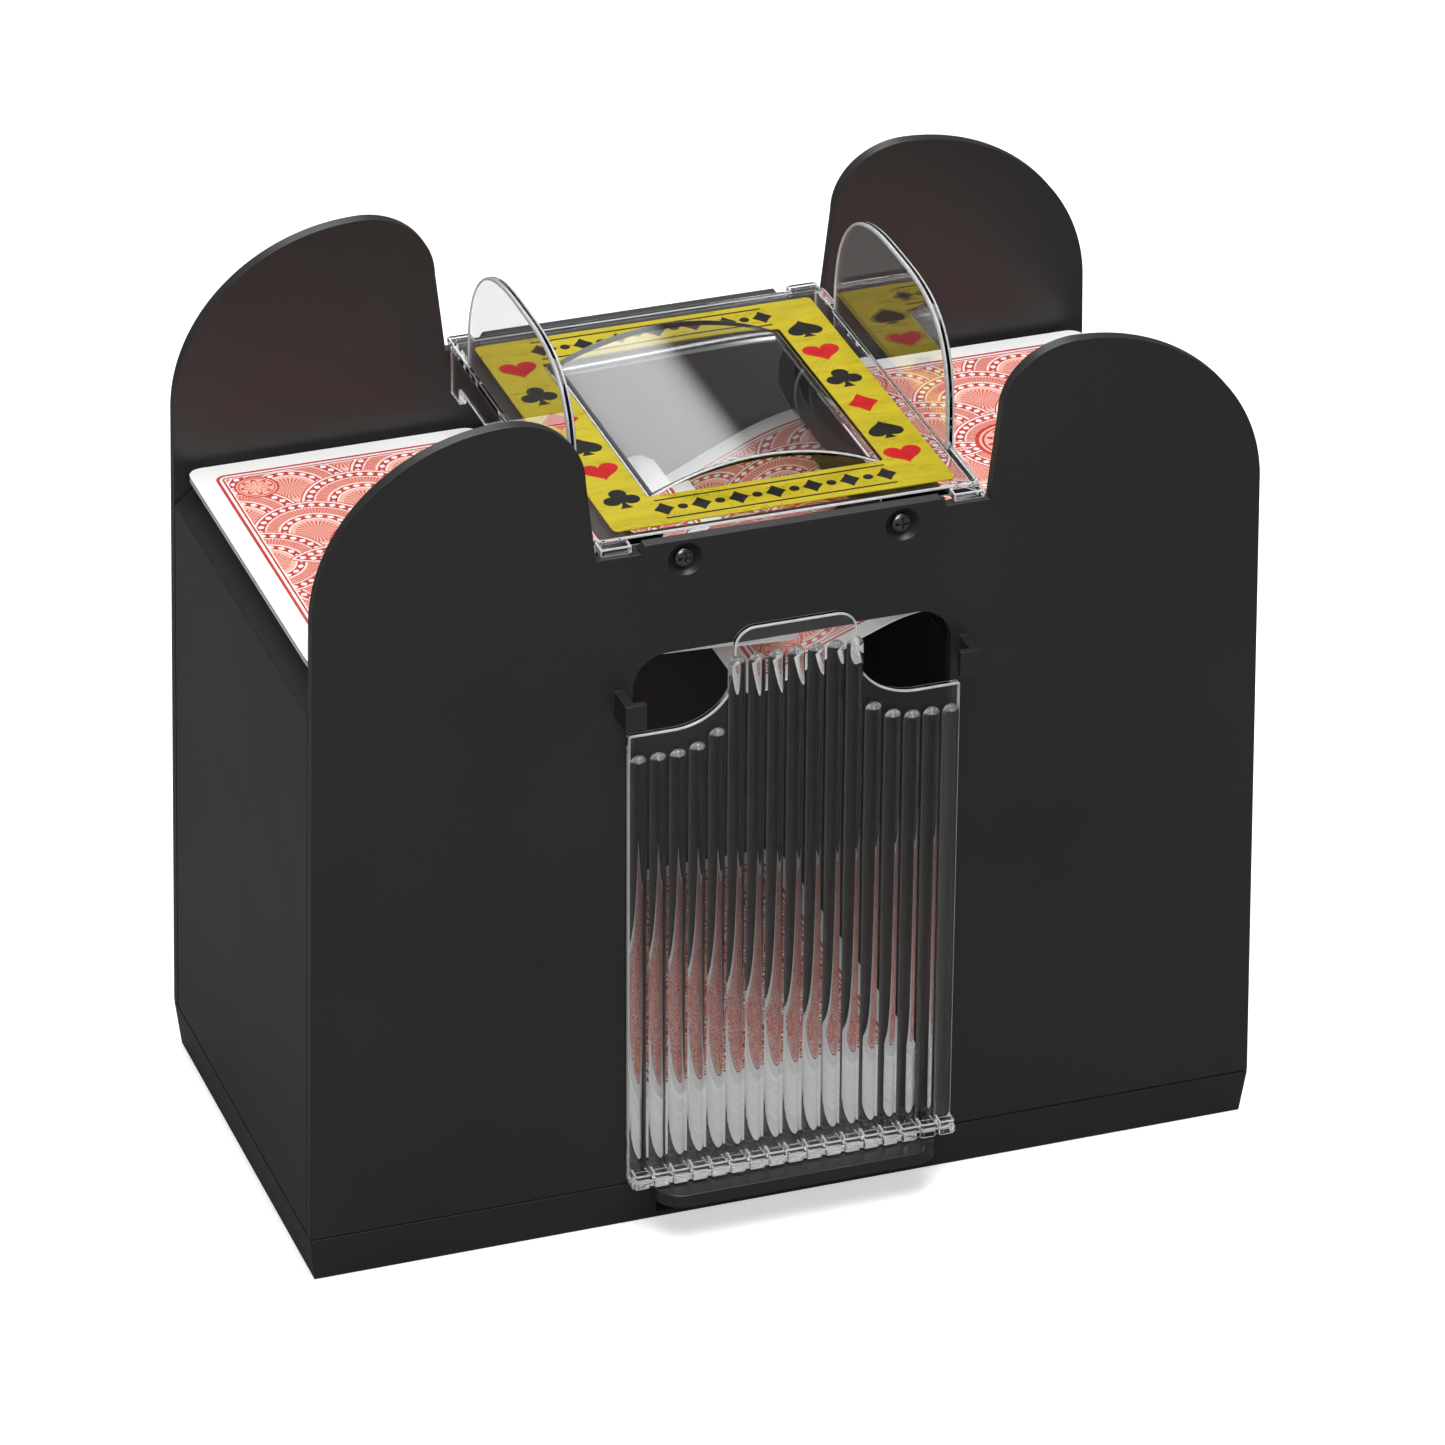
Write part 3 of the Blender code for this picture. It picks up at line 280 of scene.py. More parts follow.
class Graph:
    """Builds one material's node tree with short calls."""

    def __init__(self, name):
        self.mat = bpy.data.materials.new(name)
        self.mat.use_nodes = True
        self.tree = self.mat.node_tree
        self.shader = self.tree.nodes["Principled BSDF"]
        self.output = self.tree.nodes["Material Output"]

    def node(self, kind, settings=None, **inputs):
        made = self.tree.nodes.new(kind)
        for key, value in (settings or {}).items():
            setattr(made, key, value)
        for key, value in inputs.items():
            self.feed(made.inputs[key.replace("_", " ")], value)
        return made

    def feed(self, socket, value):
        if isinstance(value, bpy.types.NodeSocket):
            self.tree.links.new(value, socket)
        else:
            socket.default_value = value

    def set(self, **inputs):
        for key, value in inputs.items():
            self.feed(self.shader.inputs[key.replace("_", " ")], value)

    def surface(self, tone, rough, height, distance, strength=0.5, **more):
        """Sets the colour, the roughness and the bump, and whatever else is given."""
        bump = self.node("ShaderNodeBump", Height=height, Distance=distance, Strength=strength).outputs[0]
        self.set(Base_Color=tone, Roughness=rough, Normal=bump, **more)

    def math(self, operation, *values):
        made = self.tree.nodes.new("ShaderNodeMath")
        made.operation = operation
        for socket, value in zip(made.inputs, values):
            self.feed(socket, value)
        return made.outputs[0]

    def minus(self, a, b):
        return self.math("SUBTRACT", a, b)

    def plus(self, a, b):
        return self.math("ADD", a, b)

    def times(self, a, b):
        return self.math("MULTIPLY", a, b)

    def size(self, a):
        return self.math("ABSOLUTE", a)

    def below(self, a, limit):
        """1 where a is less than the limit, else 0."""
        return self.math("LESS_THAN", a, limit)

    def near(self, a, b, reach):
        """1 where a is within reach of b, else 0."""
        return self.math("COMPARE", a, b, reach)

    def most(self, first, *rest):
        for value in rest:
            first = self.math("MAXIMUM", first, value)
        return first

    def length(self, a, b):
        return self.math("SQRT", self.plus(self.times(a, a), self.times(b, b)))

    def place(self):
        return self.node("ShaderNodeTexCoord").outputs["Object"]

    def height(self):
        return self.node("ShaderNodeSeparateXYZ", Vector=self.place()).outputs[2]

    def noise(self, scale, detail=4.0, roughness=0.5, vector=None):
        made = self.node("ShaderNodeTexNoise", Scale=scale, Detail=detail, Roughness=roughness)
        self.feed(made.inputs["Vector"], vector or self.place())
        return made.outputs["Fac"]

    def cells(self, scale):
        return self.node("ShaderNodeTexVoronoi", Scale=scale, Vector=self.place()).outputs["Distance"]

    def stretched(self, x, y, z):
        made = self.node("ShaderNodeMapping", Vector=self.place())
        made.inputs["Scale"].default_value = (x, y, z)
        return made.outputs[0]

    def span(self, value, low, high, out_low=0.0, out_high=1.0):
        made = self.node("ShaderNodeMapRange", Value=value, From_Min=low, From_Max=high,
                         To_Min=out_low, To_Max=out_high)
        return made.outputs[0]

    def spread(self, noise, low=0.0, high=1.0):
        """The middle part of a noise, stretched from low to high."""
        return self.span(noise, 0.3, 0.7, low, high)

    def mix(self, factor, a, b):
        made = self.node("ShaderNodeMix", {"data_type": "RGBA"})
        self.feed(made.inputs[0], factor)
        for socket, colour in ((made.inputs[6], a), (made.inputs[7], b)):
            self.feed(socket, colour if isinstance(colour, bpy.types.NodeSocket) else (*colour, 1.0))
        return made.outputs[2]

    def choose(self, factor, a, b):
        """Number a where factor is 0, b where it is 1."""
        made = self.node("ShaderNodeMix")
        self.feed(made.inputs[0], factor)
        self.feed(made.inputs[2], a)
        self.feed(made.inputs[3], b)
        return made.outputs[0]


ACRYLIC_IOR = 1.49
DUST = (0.4, 0.38, 0.36)
BLACK_TONE = (0.018, 0.0172, 0.0172)


def moulded_plastic(name, colour, roughness, dust=False):
    """Satin moulded plastic: a fine grain, slow changes of gloss, and a little dust."""
    g = Graph(name)
    slow = g.noise(18.0, 3.0)
    fine = g.noise(2600.0, 2.0)
    tone = g.mix(g.spread(slow), [c * 0.88 for c in colour], [c * 1.12 for c in colour])
    if dust:
        speck = g.span(g.cells(260.0), 0.0, 0.035, 1.0, 0.0)
        rare = g.span(g.noise(90.0, 1.0), 0.62, 0.7)
        tone = g.mix(g.times(g.times(speck, rare), 0.35), tone, DUST)
    rough = g.plus(g.span(slow, 0.2, 0.8, roughness - 0.05, roughness + 0.05),
                   g.spread(fine, -0.03, 0.03))
    g.surface(tone, rough, fine, 0.00002, 0.6)
    return g.mat


def clear_plastic(name, shade, upper_shade=None):
    """Clear acrylic. Each surface lets the share called shade of the lamps' light through.

    With upper_shade given, the part above the cover's shoulder lets that share through instead.
    """
    g = Graph(name)
    scratch = g.noise(420.0, 2.0, vector=g.stretched(1.0, 0.35, 1.0))
    flow = g.noise(16.0, 1.0)
    g.surface((0.985, 0.99, 0.995, 1.0), g.span(scratch, 0.3, 0.8, 0.006, 0.02), flow, 0.00002,
              Transmission_Weight=1.0, IOR=ACRYLIC_IOR)
    if upper_shade is None:
        passed = (shade, shade, shade, 1.0)
    else:
        passed = g.span(g.height(), 0.112, 0.122, shade, upper_shade)
    through = g.node("ShaderNodeBsdfTransparent", Color=passed)
    is_lamp = g.node("ShaderNodeLightPath").outputs["Is Shadow Ray"]
    mixed = g.node("ShaderNodeMixShader")
    g.feed(mixed.inputs[0], is_lamp)
    g.feed(mixed.inputs[1], g.shader.outputs[0])
    g.feed(mixed.inputs[2], through.outputs[0])
    g.feed(g.output.inputs["Surface"], mixed.outputs[0])
    return g.mat


def whitish_edge_highlight(name, clear):
    """Whitish, less clear edges of clear acrylic: a painted highlight standing in for the light that the
    edges gather.
    """
    g = Graph(name)
    edge_noise = g.noise(700.0, 3.0)
    g.surface((0.86, 0.88, 0.90, 1.0), g.spread(edge_noise, 0.12, 0.24), edge_noise, 0.00001, IOR=ACRYLIC_IOR,
              Transmission_Weight=g.spread(edge_noise, clear - 0.08, clear + 0.08))
    return g.mat


def metal(name, colour, roughness, brushed=(1.0, 1.0, 1.0)):
    """Bare metal with fine lines. A small number in brushed draws them out along that axis."""
    g = Graph(name)
    lines = g.noise(900.0, 3.0, vector=g.stretched(*brushed))
    rough = g.span(lines, 0.25, 0.75, roughness - 0.06, roughness + 0.08)
    g.surface(g.mix(g.spread(lines), [c * 0.85 for c in colour], colour), rough, lines, 0.000008,
              Metallic=1.0)
    return g.mat


# ---- card back ----

FRAME_X = CARD_WIDTH / 2 - 4.6  # the printed frame inside the white border
FRAME_Y = CARD_LENGTH / 2 - 4.6
FRAME_ROUND = 2.4
FAN = FRAME_X / 2  # radius of the overlapping fans
FAN_RISE = FRAME_Y / 4
INNER_CHAIN = FAN * 0.5  # radius of the inner chain of beads
MEDALLIONS = ((FRAME_X - 7.2, FRAME_Y - 7.2, 4.7, 8), (0.0, 0.0, 8.6, 12))  # place, radius, petals
RED_INK = (0.52, 0.024, 0.012)
PINK_INK = (0.85, 0.43, 0.34)
PAPER = (0.86, 0.86, 0.85)


def distance_to_frame(g, u, v):
    """Signed distance to a rounded rectangle, negative inside."""
    qx = g.minus(g.size(u), FRAME_X - FRAME_ROUND)
    qy = g.minus(g.size(v), FRAME_Y - FRAME_ROUND)
    outside = g.length(g.most(qx, 0.0), g.most(qy, 0.0))
    inside = g.math("MINIMUM", g.most(qx, qy), 0.0)
    return g.minus(g.plus(outside, inside), FRAME_ROUND)


def nearest_fan(g, u, v):
    """Distance and angle from the centre of the frontmost fan that covers the point."""
    w = g.size(v)
    first = g.math("CEIL", g.math("DIVIDE", g.minus(w, FAN), FAN_RISE))
    found = None
    for step in (2, 1, 0):
        row = g.plus(first, float(step))
        shift = g.times(g.math("FLOORED_MODULO", row, 2.0), FAN)
        across = g.minus(u, shift)
        column = g.math("ROUND", g.math("DIVIDE", across, 2 * FAN))
        across = g.minus(across, g.times(column, 2 * FAN))
        along = g.minus(w, g.times(row, FAN_RISE))
        here = (g.length(across, along), across, along)
        if found is None:
            found = here
            continue
        covered = g.below(here[0], FAN)
        found = tuple(g.choose(covered, far, near) for far, near in zip(found, here))
    return found[0], g.math("ARCTAN2", found[1], found[2])


def off_ray(g, angle, count):
    """Distance from the nearest of count evenly spaced rays, as a share of their spacing."""
    turn = g.times(angle, count / (2 * math.pi))
    return g.size(g.minus(turn, g.math("ROUND", turn)))


def spokes(g, angle, count, share):
    """1 on count evenly spaced rays, each share of the spacing wide."""
    return g.below(off_ray(g, angle, count), share / 2)


def bead_chain(g, distance, angle, radius, half, count):
    """A red band with white lozenge beads. Returns the band and the beads."""
    along = g.math("DIVIDE", off_ray(g, angle, count), 0.33)
    across = g.math("DIVIDE", g.size(g.minus(distance, radius)), half * 0.74)
    bead = g.below(g.plus(g.math("POWER", along, 1.4), g.math("POWER", across, 1.4)), 1.0)
    band = g.near(distance, radius, half)
    return g.times(band, g.minus(1.0, bead)), g.times(band, bead)


def medallion(g, u, v, radius, petals):
    """A ringed star. Returns its disc and its red lines."""
    distance = g.length(u, v)
    angle = g.math("ARCTAN2", v, u)
    wave = g.size(g.math("COSINE", g.times(angle, petals / 2)))
    edge = g.plus(g.times(wave, radius * 0.5), radius * 0.16)
    star = g.near(distance, edge, radius * 0.07)
    ring = g.near(distance, radius * 0.95, radius * 0.05)
    inner = g.near(distance, radius * 0.8, radius * 0.03)
    return g.below(distance, radius), g.most(star, ring, inner)


def card_back():
    """A printed back of our own: a double frame, fans with bead chains, ringed stars."""
    g = Graph("card_back")
    uv = g.node("ShaderNodeUVMap", {"uv_map": "card"}).outputs[0]
    split = g.node("ShaderNodeSeparateXYZ", Vector=uv)
    u, v = split.outputs[0], split.outputs[1]
    frame_distance = distance_to_frame(g, u, v)
    distance, angle = nearest_fan(g, u, v)
    outer_band, outer_beads = bead_chain(g, distance, angle, FAN - 1.75, 0.95, 34)
    inner_band, inner_beads = bead_chain(g, distance, angle, INNER_CHAIN, 0.8, 18)
    rim = g.near(distance, FAN - 0.12, 0.15)
    outer_gaps = g.most(g.near(distance, FAN - 0.55, 0.22), g.near(distance, FAN - 2.95, 0.2))
    inner_gaps = g.most(*[g.near(distance, INNER_CHAIN + step, 0.18) for step in (1.0, -1.0)])
    ruled_band = g.near(distance, FAN * 0.69, FAN * 0.09)
    hair = g.times(spokes(g, angle, 92, 0.5), ruled_band)
    fine_rings = g.below(g.math("FLOORED_MODULO", g.times(distance, 2.4), 1.0), 0.34)
    fine_rings = g.times(fine_rings, ruled_band)
    heart_rays = g.times(spokes(g, angle, 30, 0.42), g.below(distance, FAN * 0.34))
    red = g.most(outer_band, inner_band, rim, g.times(hair, 0.8), g.times(fine_rings, 0.7),
                 g.times(heart_rays, 0.9))
    white = g.most(outer_beads, inner_beads, g.times(outer_gaps, 0.8), g.times(inner_gaps, 0.8))
    for du, dv, radius, petals in MEDALLIONS:
        disc, lines = medallion(g, g.minus(g.size(u), du), g.minus(g.size(v), dv), radius, petals)
        outside = g.minus(1.0, disc)
        red = g.most(g.times(red, outside), g.times(lines, disc))
        white = g.times(white, outside)
    inside = g.below(frame_distance, -2.0)
    outer_line, inner_line = g.near(frame_distance, -0.35, 0.35), g.near(frame_distance, -1.5, 0.22)
    red = g.most(g.times(red, inside), outer_line, inner_line)
    ground = g.below(frame_distance, 0.0)
    tone = g.mix(g.times(inside, g.minus(1.0, g.times(white, inside))), PAPER, PINK_INK)
    tone = g.mix(g.times(red, ground), tone, RED_INK)
    fibre = g.noise(900.0, 3.0)
    tone = g.mix(g.spread(fibre, 0.0, 0.07), tone, PAPER)
    linen = g.noise(3200.0, 1.0)
    g.surface(tone, g.spread(fibre, 0.3, 0.42), linen, 0.000012)
    return g.mat


# ---- materials ----

def paper():
    g = Graph("card_paper")
    fibre = g.noise(1500.0, 3.0)
    tone = g.mix(g.spread(fibre), (0.80, 0.79, 0.77), PAPER)
    g.surface(tone, g.spread(fibre, 0.42, 0.55), fibre, 0.00001)
    return g.mat


def foil():
    """Printed yellow foil, creased where it was rubbed down."""
    g = Graph("gold_foil")
    long_creases = g.noise(150.0, 4.0, 0.6, g.stretched(0.22, 1.8, 1.0))
    short_creases = g.noise(420.0, 3.0, 0.6, g.stretched(0.5, 1.2, 1.0))
    creases = g.plus(long_creases, g.times(short_creases, 0.35))
    tone = g.mix(g.span(creases, 0.4, 0.95), (0.445, 0.355, 0.006), (0.595, 0.48, 0.014))
    g.surface(tone, g.spread(short_creases, 0.24, 0.4), creases, 0.00035, 0.55, Metallic=0.35,
              Specular_IOR_Level=0.25)
    return g.mat


def ink(name, colour):
    g = Graph(name)
    press = g.noise(700.0, 2.0)
    tone = g.mix(g.spread(press), [c * 0.8 for c in colour], [c * 1.15 for c in colour])
    g.surface(tone, g.spread(press, 0.3, 0.45), press, 0.00001, 0.4, Specular_IOR_Level=0.12)
    return g.mat


def rubber():
    g = Graph("roller_rubber")
    pores = g.noise(1800.0, 3.0)
    wear = g.noise(60.0, 2.0)
    tone = g.mix(g.span(wear, 0.35, 0.7), (0.018, 0.018, 0.019), (0.05, 0.048, 0.046))
    g.surface(tone, g.spread(pores, 0.68, 0.88), pores, 0.00003, 0.8)
    return g.mat


def nylon():
    g = Graph("white_nylon")
    flow = g.noise(120.0, 3.0)
    tone = g.mix(g.spread(flow), (0.66, 0.64, 0.57), (0.78, 0.76, 0.70))
    g.surface(tone, g.spread(flow, 0.34, 0.5), flow, 0.00002, 0.4, Subsurface_Weight=0.1)
    return g.mat


def cell_jacket():
    """A two-tone printed sleeve: the last third of each cell is copper coloured."""
    g = Graph("cell_jacket")
    split = g.node("ShaderNodeSeparateXYZ", Vector=g.place())
    past = g.math("GREATER_THAN", split.outputs[1], 0.008)
    scuffs = g.noise(300.0, 3.0)
    tone = g.mix(past, (0.02, 0.022, 0.028), (0.62, 0.30, 0.12))
    tone = g.mix(g.span(scuffs, 0.55, 0.8, 0.0, 0.3), tone, (0.3, 0.3, 0.3))
    g.surface(tone, g.spread(scuffs, 0.22, 0.36), scuffs, 0.00001, 0.4, Metallic=0.5)
    return g.mat


BLACK = moulded_plastic("black_plastic", BLACK_TONE, 0.40, dust=True)
BLACK_EDGE = moulded_plastic("black_plastic_edge", BLACK_TONE, 0.2)
# The inner plastic is a much darker copy of the black plastic: painted shade for the parts inside the
# housing.
SHADED_INNER = moulded_plastic("inner_plastic_painted_shade", (0.0035, 0.0033, 0.0033), 0.5)
SHELF = moulded_plastic("shelf_plastic", (0.02, 0.02, 0.021), 0.22)
CLEAR = clear_plastic("clear_acrylic", 0.99)
CLEAR_COVER = clear_plastic("clear_acrylic_cover", 0.5, upper_shade=0.97)
CLEAR_DOME = clear_plastic("clear_acrylic_dome", 0.42)
# The whitish edge and rib-end materials are painted highlights: they stand in for the light that the
# acrylic's rounded edges and rib ends catch.
CLEAR_EDGE_HIGHLIGHT = whitish_edge_highlight("clear_acrylic_edge_highlight", 0.5)
CLEAR_DIMPLE_HIGHLIGHT = whitish_edge_highlight("clear_acrylic_dimple_highlight", 0.82)
CLEAR_SET = (CLEAR, CLEAR_EDGE_HIGHLIGHT, CLEAR_DOME)  # faces, rounded edges, dome
COVER_SET = (CLEAR_COVER, CLEAR_EDGE_HIGHLIGHT, CLEAR_DIMPLE_HIGHLIGHT)  # faces, rounded edges, rib ends
PAPER_EDGE = paper()
BACK_PRINT = card_back()
FOIL = foil()
BLACK_INK = ink("black_ink", (0.010, 0.009, 0.008))
RED_SUIT_INK = ink("red_ink", (0.42, 0.006, 0.008))
RUBBER = rubber()
NYLON = nylon()
CELL = cell_jacket()
STEEL = metal("drawn_steel", (0.62, 0.61, 0.60), 0.26, (1.0, 0.05, 1.0))
DARK_STEEL = metal("blackened_steel", (0.17, 0.17, 0.175), 0.24)
BRASS = metal("brass", (0.78, 0.62, 0.33), 0.24)


# ---- housing ----

def ear_edge():
    """The right half of a panel's top edge, from the middle out to the shoulder."""
    points = [(RAISED_HALF - 0.9, RAISED_Z), (RAISED_HALF, NOTCH_Z + 0.5)]
    points += [(RAISED_HALF, NOTCH_Z), (NOTCH_HALF, NOTCH_Z)]
    points += arc(EAR_PEAK_X, EAR_TOP_Z - EAR_INNER_HEIGHT, EAR_INNER_RADIUS, EAR_INNER_HEIGHT, 180, 90, 24)
    outer_radius = body_half(SHOULDER_Z) - EAR_PEAK_X
    points += arc(EAR_PEAK_X, SHOULDER_Z, outer_radius, EAR_TOP_Z - SHOULDER_Z, 90, 0, 44)[1:]
    return points


def panel_outline(window):
    right = ear_edge()
    points = [(BASE_HALF, PLINTH_HEIGHT)] + (mirrored(right) + right)[::-1]
    points.append((-BASE_HALF, PLINTH_HEIGHT))
    if window:
        left = [(-WINDOW_HALF, PLINTH_HEIGHT)]
        left += arc(-WINDOW_HALF + WINDOW_RADIUS, WINDOW_TOP - WINDOW_RADIUS,
                    WINDOW_RADIUS, WINDOW_RADIUS, 180, 90, 14)
        points += left + mirrored(left)
    return points


def screw_dishes(face, outward):
    bm = bmesh.new()
    for x in (-SCREW_X, SCREW_X):
        profile = [(outward, SCREW_DISH + 0.75), (-outward * SCREW_DISH_DEPTH, SCREW_HEAD + GAP)]
        profile.append((-outward * (SCREW_DISH_DEPTH + 0.01), SCREW_SHANK + GAP))
        profile.append((-outward * (PANEL + 1), SCREW_SHANK + GAP))
        turned(bm, profile, (x, face, SCREW_Z))
    return bm


def hooks():
    """The L hooks beside the window."""
    bm = bmesh.new()
    tip = FRONT - HOOK_REACH
    for side in (-1, 1):
        outline = [(HOOK_IN, tip), (HOOK_OUT, tip), (HOOK_OUT, FRONT + 1), (HOOK_OUT - HOOK_ARM, FRONT + 1)]
        outline += [(HOOK_OUT - HOOK_ARM, tip + HOOK_PLATE), (HOOK_IN, tip + HOOK_PLATE)]
        prism(bm, [(side * x, y) for x, y in outline], HOOK_LOW, HOOK_HIGH, axis="Z")
    return bm


def panel(name, node, face, outward, window):
    depth = sorted((face, face - outward * PANEL))
    shell = prism_mesh(name, panel_outline(window), *depth, "Y", BLACK, BLACK_EDGE)
    cut(shell, screw_dishes(face, outward))
    if window:
        join(shell, hooks())
    soften(shell, 1.0, 4, 44).material = 1
    place(smoothed(shell), "housing", "black_plastic", node)


def end_wall(label, side):
    """A leaning wall with the lip that the card stacks lie against."""
    low = PLINTH_HEIGHT
    inner = body_half(LIP_Z) - LIP_WIDTH
    under = LIP_Z - LIP_DROP
    outline = [(body_half(low), low), (body_half(LIP_Z), LIP_Z), (inner, LIP_Z + LIP_RISE),
               (inner, LIP_Z + LIP_STEP), (body_half(under) - WALL, under), (body_half(low) - WALL, low)]
    outline = [(side * x, z) for x, z in outline]
    wall = prism_mesh(label + "_side_shell", outline, -FIT_Y, FIT_Y, "Y", BLACK)
    if side > 0:
        centre = middle("push_button")
        centre[0] = body_half(centre[2])
        hole = bmesh.new()
        turned(hole, [(-8, BUTTON_RADIUS + GAP), (8, BUTTON_RADIUS + GAP)], centre, axis="X")
        cut(wall, hole)
    soften(wall, 0.35, 3, 25)
    place(smoothed(wall), "housing", "black_plastic", label + "_end_wall")


def push_button():
    """A dished cap with a rounded rim and a flange behind the wall."""
    centre = middle("push_button")
    centre[0] = span("push_button")[1][0] - BUTTON_STAND
    rim = BUTTON_STAND - BUTTON_RIM
    profile = [(FLANGE_BACK, FLANGE_RADIUS - 0.2), (FLANGE_BACK + 0.2, FLANGE_RADIUS),
               (FLANGE_FRONT - 0.2, FLANGE_RADIUS), (FLANGE_FRONT, FLANGE_RADIUS - 0.2),
               (FLANGE_FRONT, BUTTON_RADIUS), (rim, BUTTON_RADIUS)]
    profile += arc(rim, BUTTON_RADIUS - BUTTON_RIM, BUTTON_RIM, BUTTON_RIM, 90, 0, 6)
    profile += [(BUTTON_STAND, BUTTON_RADIUS - 1.2), (1.45, BUTTON_RADIUS - 1.7), (1.1, 2.2), (1.0, 0.6)]
    bm = bmesh.new()
    turned(bm, profile, centre, axis="X")
    cap = add_mesh("start_button", bm, [BLACK])
    place(smoothed(cap, 40), "push_button", "black_plastic", "push_button")


def screw(node, axis, outward):
    """A pan-head screw with a cross recess. axis is the screw's own axis."""
    low, high = span(node)
    index = "XYZ".index(axis)
    centre = middle(node)
    centre[index] = high[index] if outward > 0 else low[index]
    total = high[index] - low[index]
    profile = [(-total, SCREW_SHANK * 0.6), (1.2 - total, SCREW_SHANK), (-HEAD_HEIGHT, SCREW_SHANK),
               (-HEAD_HEIGHT, SCREW_HEAD - 0.1), (0.1 - HEAD_HEIGHT, SCREW_HEAD), (-HEAD_CROWN, SCREW_HEAD)]
    for turn in (20, 40, 60, 75, 90):
        angle = math.radians(turn)
        profile.append((HEAD_CROWN * (math.sin(angle) - 1), SCREW_HEAD * (0.35 + 0.65 * math.cos(angle))))
    bm = bmesh.new()
    turned(bm, [(outward * a, r) for a, r in profile], centre, axis=axis, segments=40)
    piece = add_mesh(node + "_detail", bm, [DARK_STEEL])
    for wide, tall in ((CROSS_LONG, CROSS_THIN), (CROSS_THIN, CROSS_LONG)):
        half = {"Y": (wide, HEAD_CROWN, tall), "Z": (wide, tall, HEAD_CROWN)}[axis]
        arm = bmesh.new()
        block(arm, [c - h for c, h in zip(centre, half)], [c + h for c, h in zip(centre, half)])
        cut(piece, arm)
    soften(piece, 0.08, 2, 45)
    place(smoothed(piece), "housing", "black_steel", node)


def screws():
    for where, outward in (("front", -1), ("rear", 1)):
        for side in ("left", "right"):
            screw(f"{where}_screw_{side}", "Y", outward)
    for i in range(4):
        screw(f"base_screw_{i + 1}", "Z", -1)


def shelf():
    """The collector floor with its rounded tongue, on two legs and a cross wall."""
    side = SHELF_HIGH[0]
    half = side - SHELF_INSET
    right = arc(half - SHELF_ROUND, SHELF_LOW[1] + SHELF_ROUND, SHELF_ROUND, SHELF_ROUND, -90, 0, 14)
    right += [(half, FRONT - 0.5), (side, FRONT + 0.2), (side, FIT_Y)]
    outline = right + mirrored(right)
    plate = prism_mesh("collector_shelf", outline, SHELF_TOP - SHELF_THICK, SHELF_TOP, "Z", SHELF)
    legs = bmesh.new()
    leg_top = SHELF_TOP - 1
    for x in (-SHELF_LEG_X, SHELF_LEG_X):
        block(legs, (x - 1.5, SHELF_LEG_Y[0], SHELF_LOW[2]), (x + 1.5, SHELF_LEG_Y[1], leg_top))
    reach = SHELF_LEG_X + 2
    block(legs, (-reach, SHELF_STOP_Y[0], SHELF_LOW[2]), (reach, SHELF_STOP_Y[1], leg_top))
    join(plate, legs)
    soften(plate, 0.7, 3)
    place(smoothed(plate), "housing", "black_plastic", "collector_floor")


# ---- lid ----

LID_TOP = LABEL_LOW[2] - GAP  # top of the lid's plate
LID_LOW = LID_TOP - 2.2
LID_LENGTH_HALF = 47.2
SKIRT_IN, SKIRT_OUT = 39.5, LID_HALF - 0.1
SKIRT_LOW = 151.5
LEG_LOW = LID_LOW_CORNER[2]
LEG_LENGTH = 6.0
VIEW_HALF = 25.0
VIEW_FRONT, VIEW_BACK = -33.0, 29.5
DOME_RISE = 6.0
DOME_THICK = 1.6
FIN_X = 40.3
FIN_THICK = 1.9
FIN_CENTRE = 1.8
FIN_HALF = 33.7
FIN_TOP = LID_HIGH_CORNER[2]
TAB_IN, TAB_OUT = 34.2, 40.9
RIB_INSET = 1.6  # from a clip tab's end to its rib
RIB_HALF = 0.45
RIB_SHIFT = 2.2  # how far a rib sits inward of its tab


def rounded_solid(name, outline, low, high, axis, width, segments=3, degrees=40, mats=CLEAR_SET):
    """A clear prism with rounded edges in the whitish edge material, a painted highlight, ready to be
    merged.
    """
    piece = prism_mesh(name, outline, low, high, axis, *mats)
    # The rounded edges take material 1, the whitish edge material: a painted highlight.
    soften(piece, width, segments, degrees).material = 1
    apply_modifiers(piece)
    return piece


def merge_solid(base, *shape, **options):
    """Unions a rounded prism into the base."""
    combine(base, rounded_solid("part", *shape, **options), "UNION")


def fin_outline():
    """A tall rounded tongue, blunter toward the front."""
    height = FIN_TOP - LID_TOP + 0.6
    points = []
    steps = 72
    for i in range(steps + 1):
        angle = math.pi * i / steps
        power = 2.6 if angle < math.pi / 2 else 3.4
        across = math.copysign(abs(math.cos(angle)) ** (2 / power), math.cos(angle))
        up = abs(math.sin(angle)) ** (2 / power)
        points.append((FIN_CENTRE + FIN_HALF * across, LID_TOP - 0.6 + height * up))
    return points


def box_outline(x0, x1, z0, z1):
    return [(x0, z0), (x1, z0), (x1, z1), (x0, z1)]


def dome_arch(rise, half):
    """The vault's cross-section, an arc that rises over a flat opening."""
    radius = (half * half + rise * rise) / (2 * rise)
    reach = math.degrees(math.asin(half / radius))
    return arc(0, LID_TOP + rise - radius, radius, radius, 90 - reach, 90 + reach, 40)


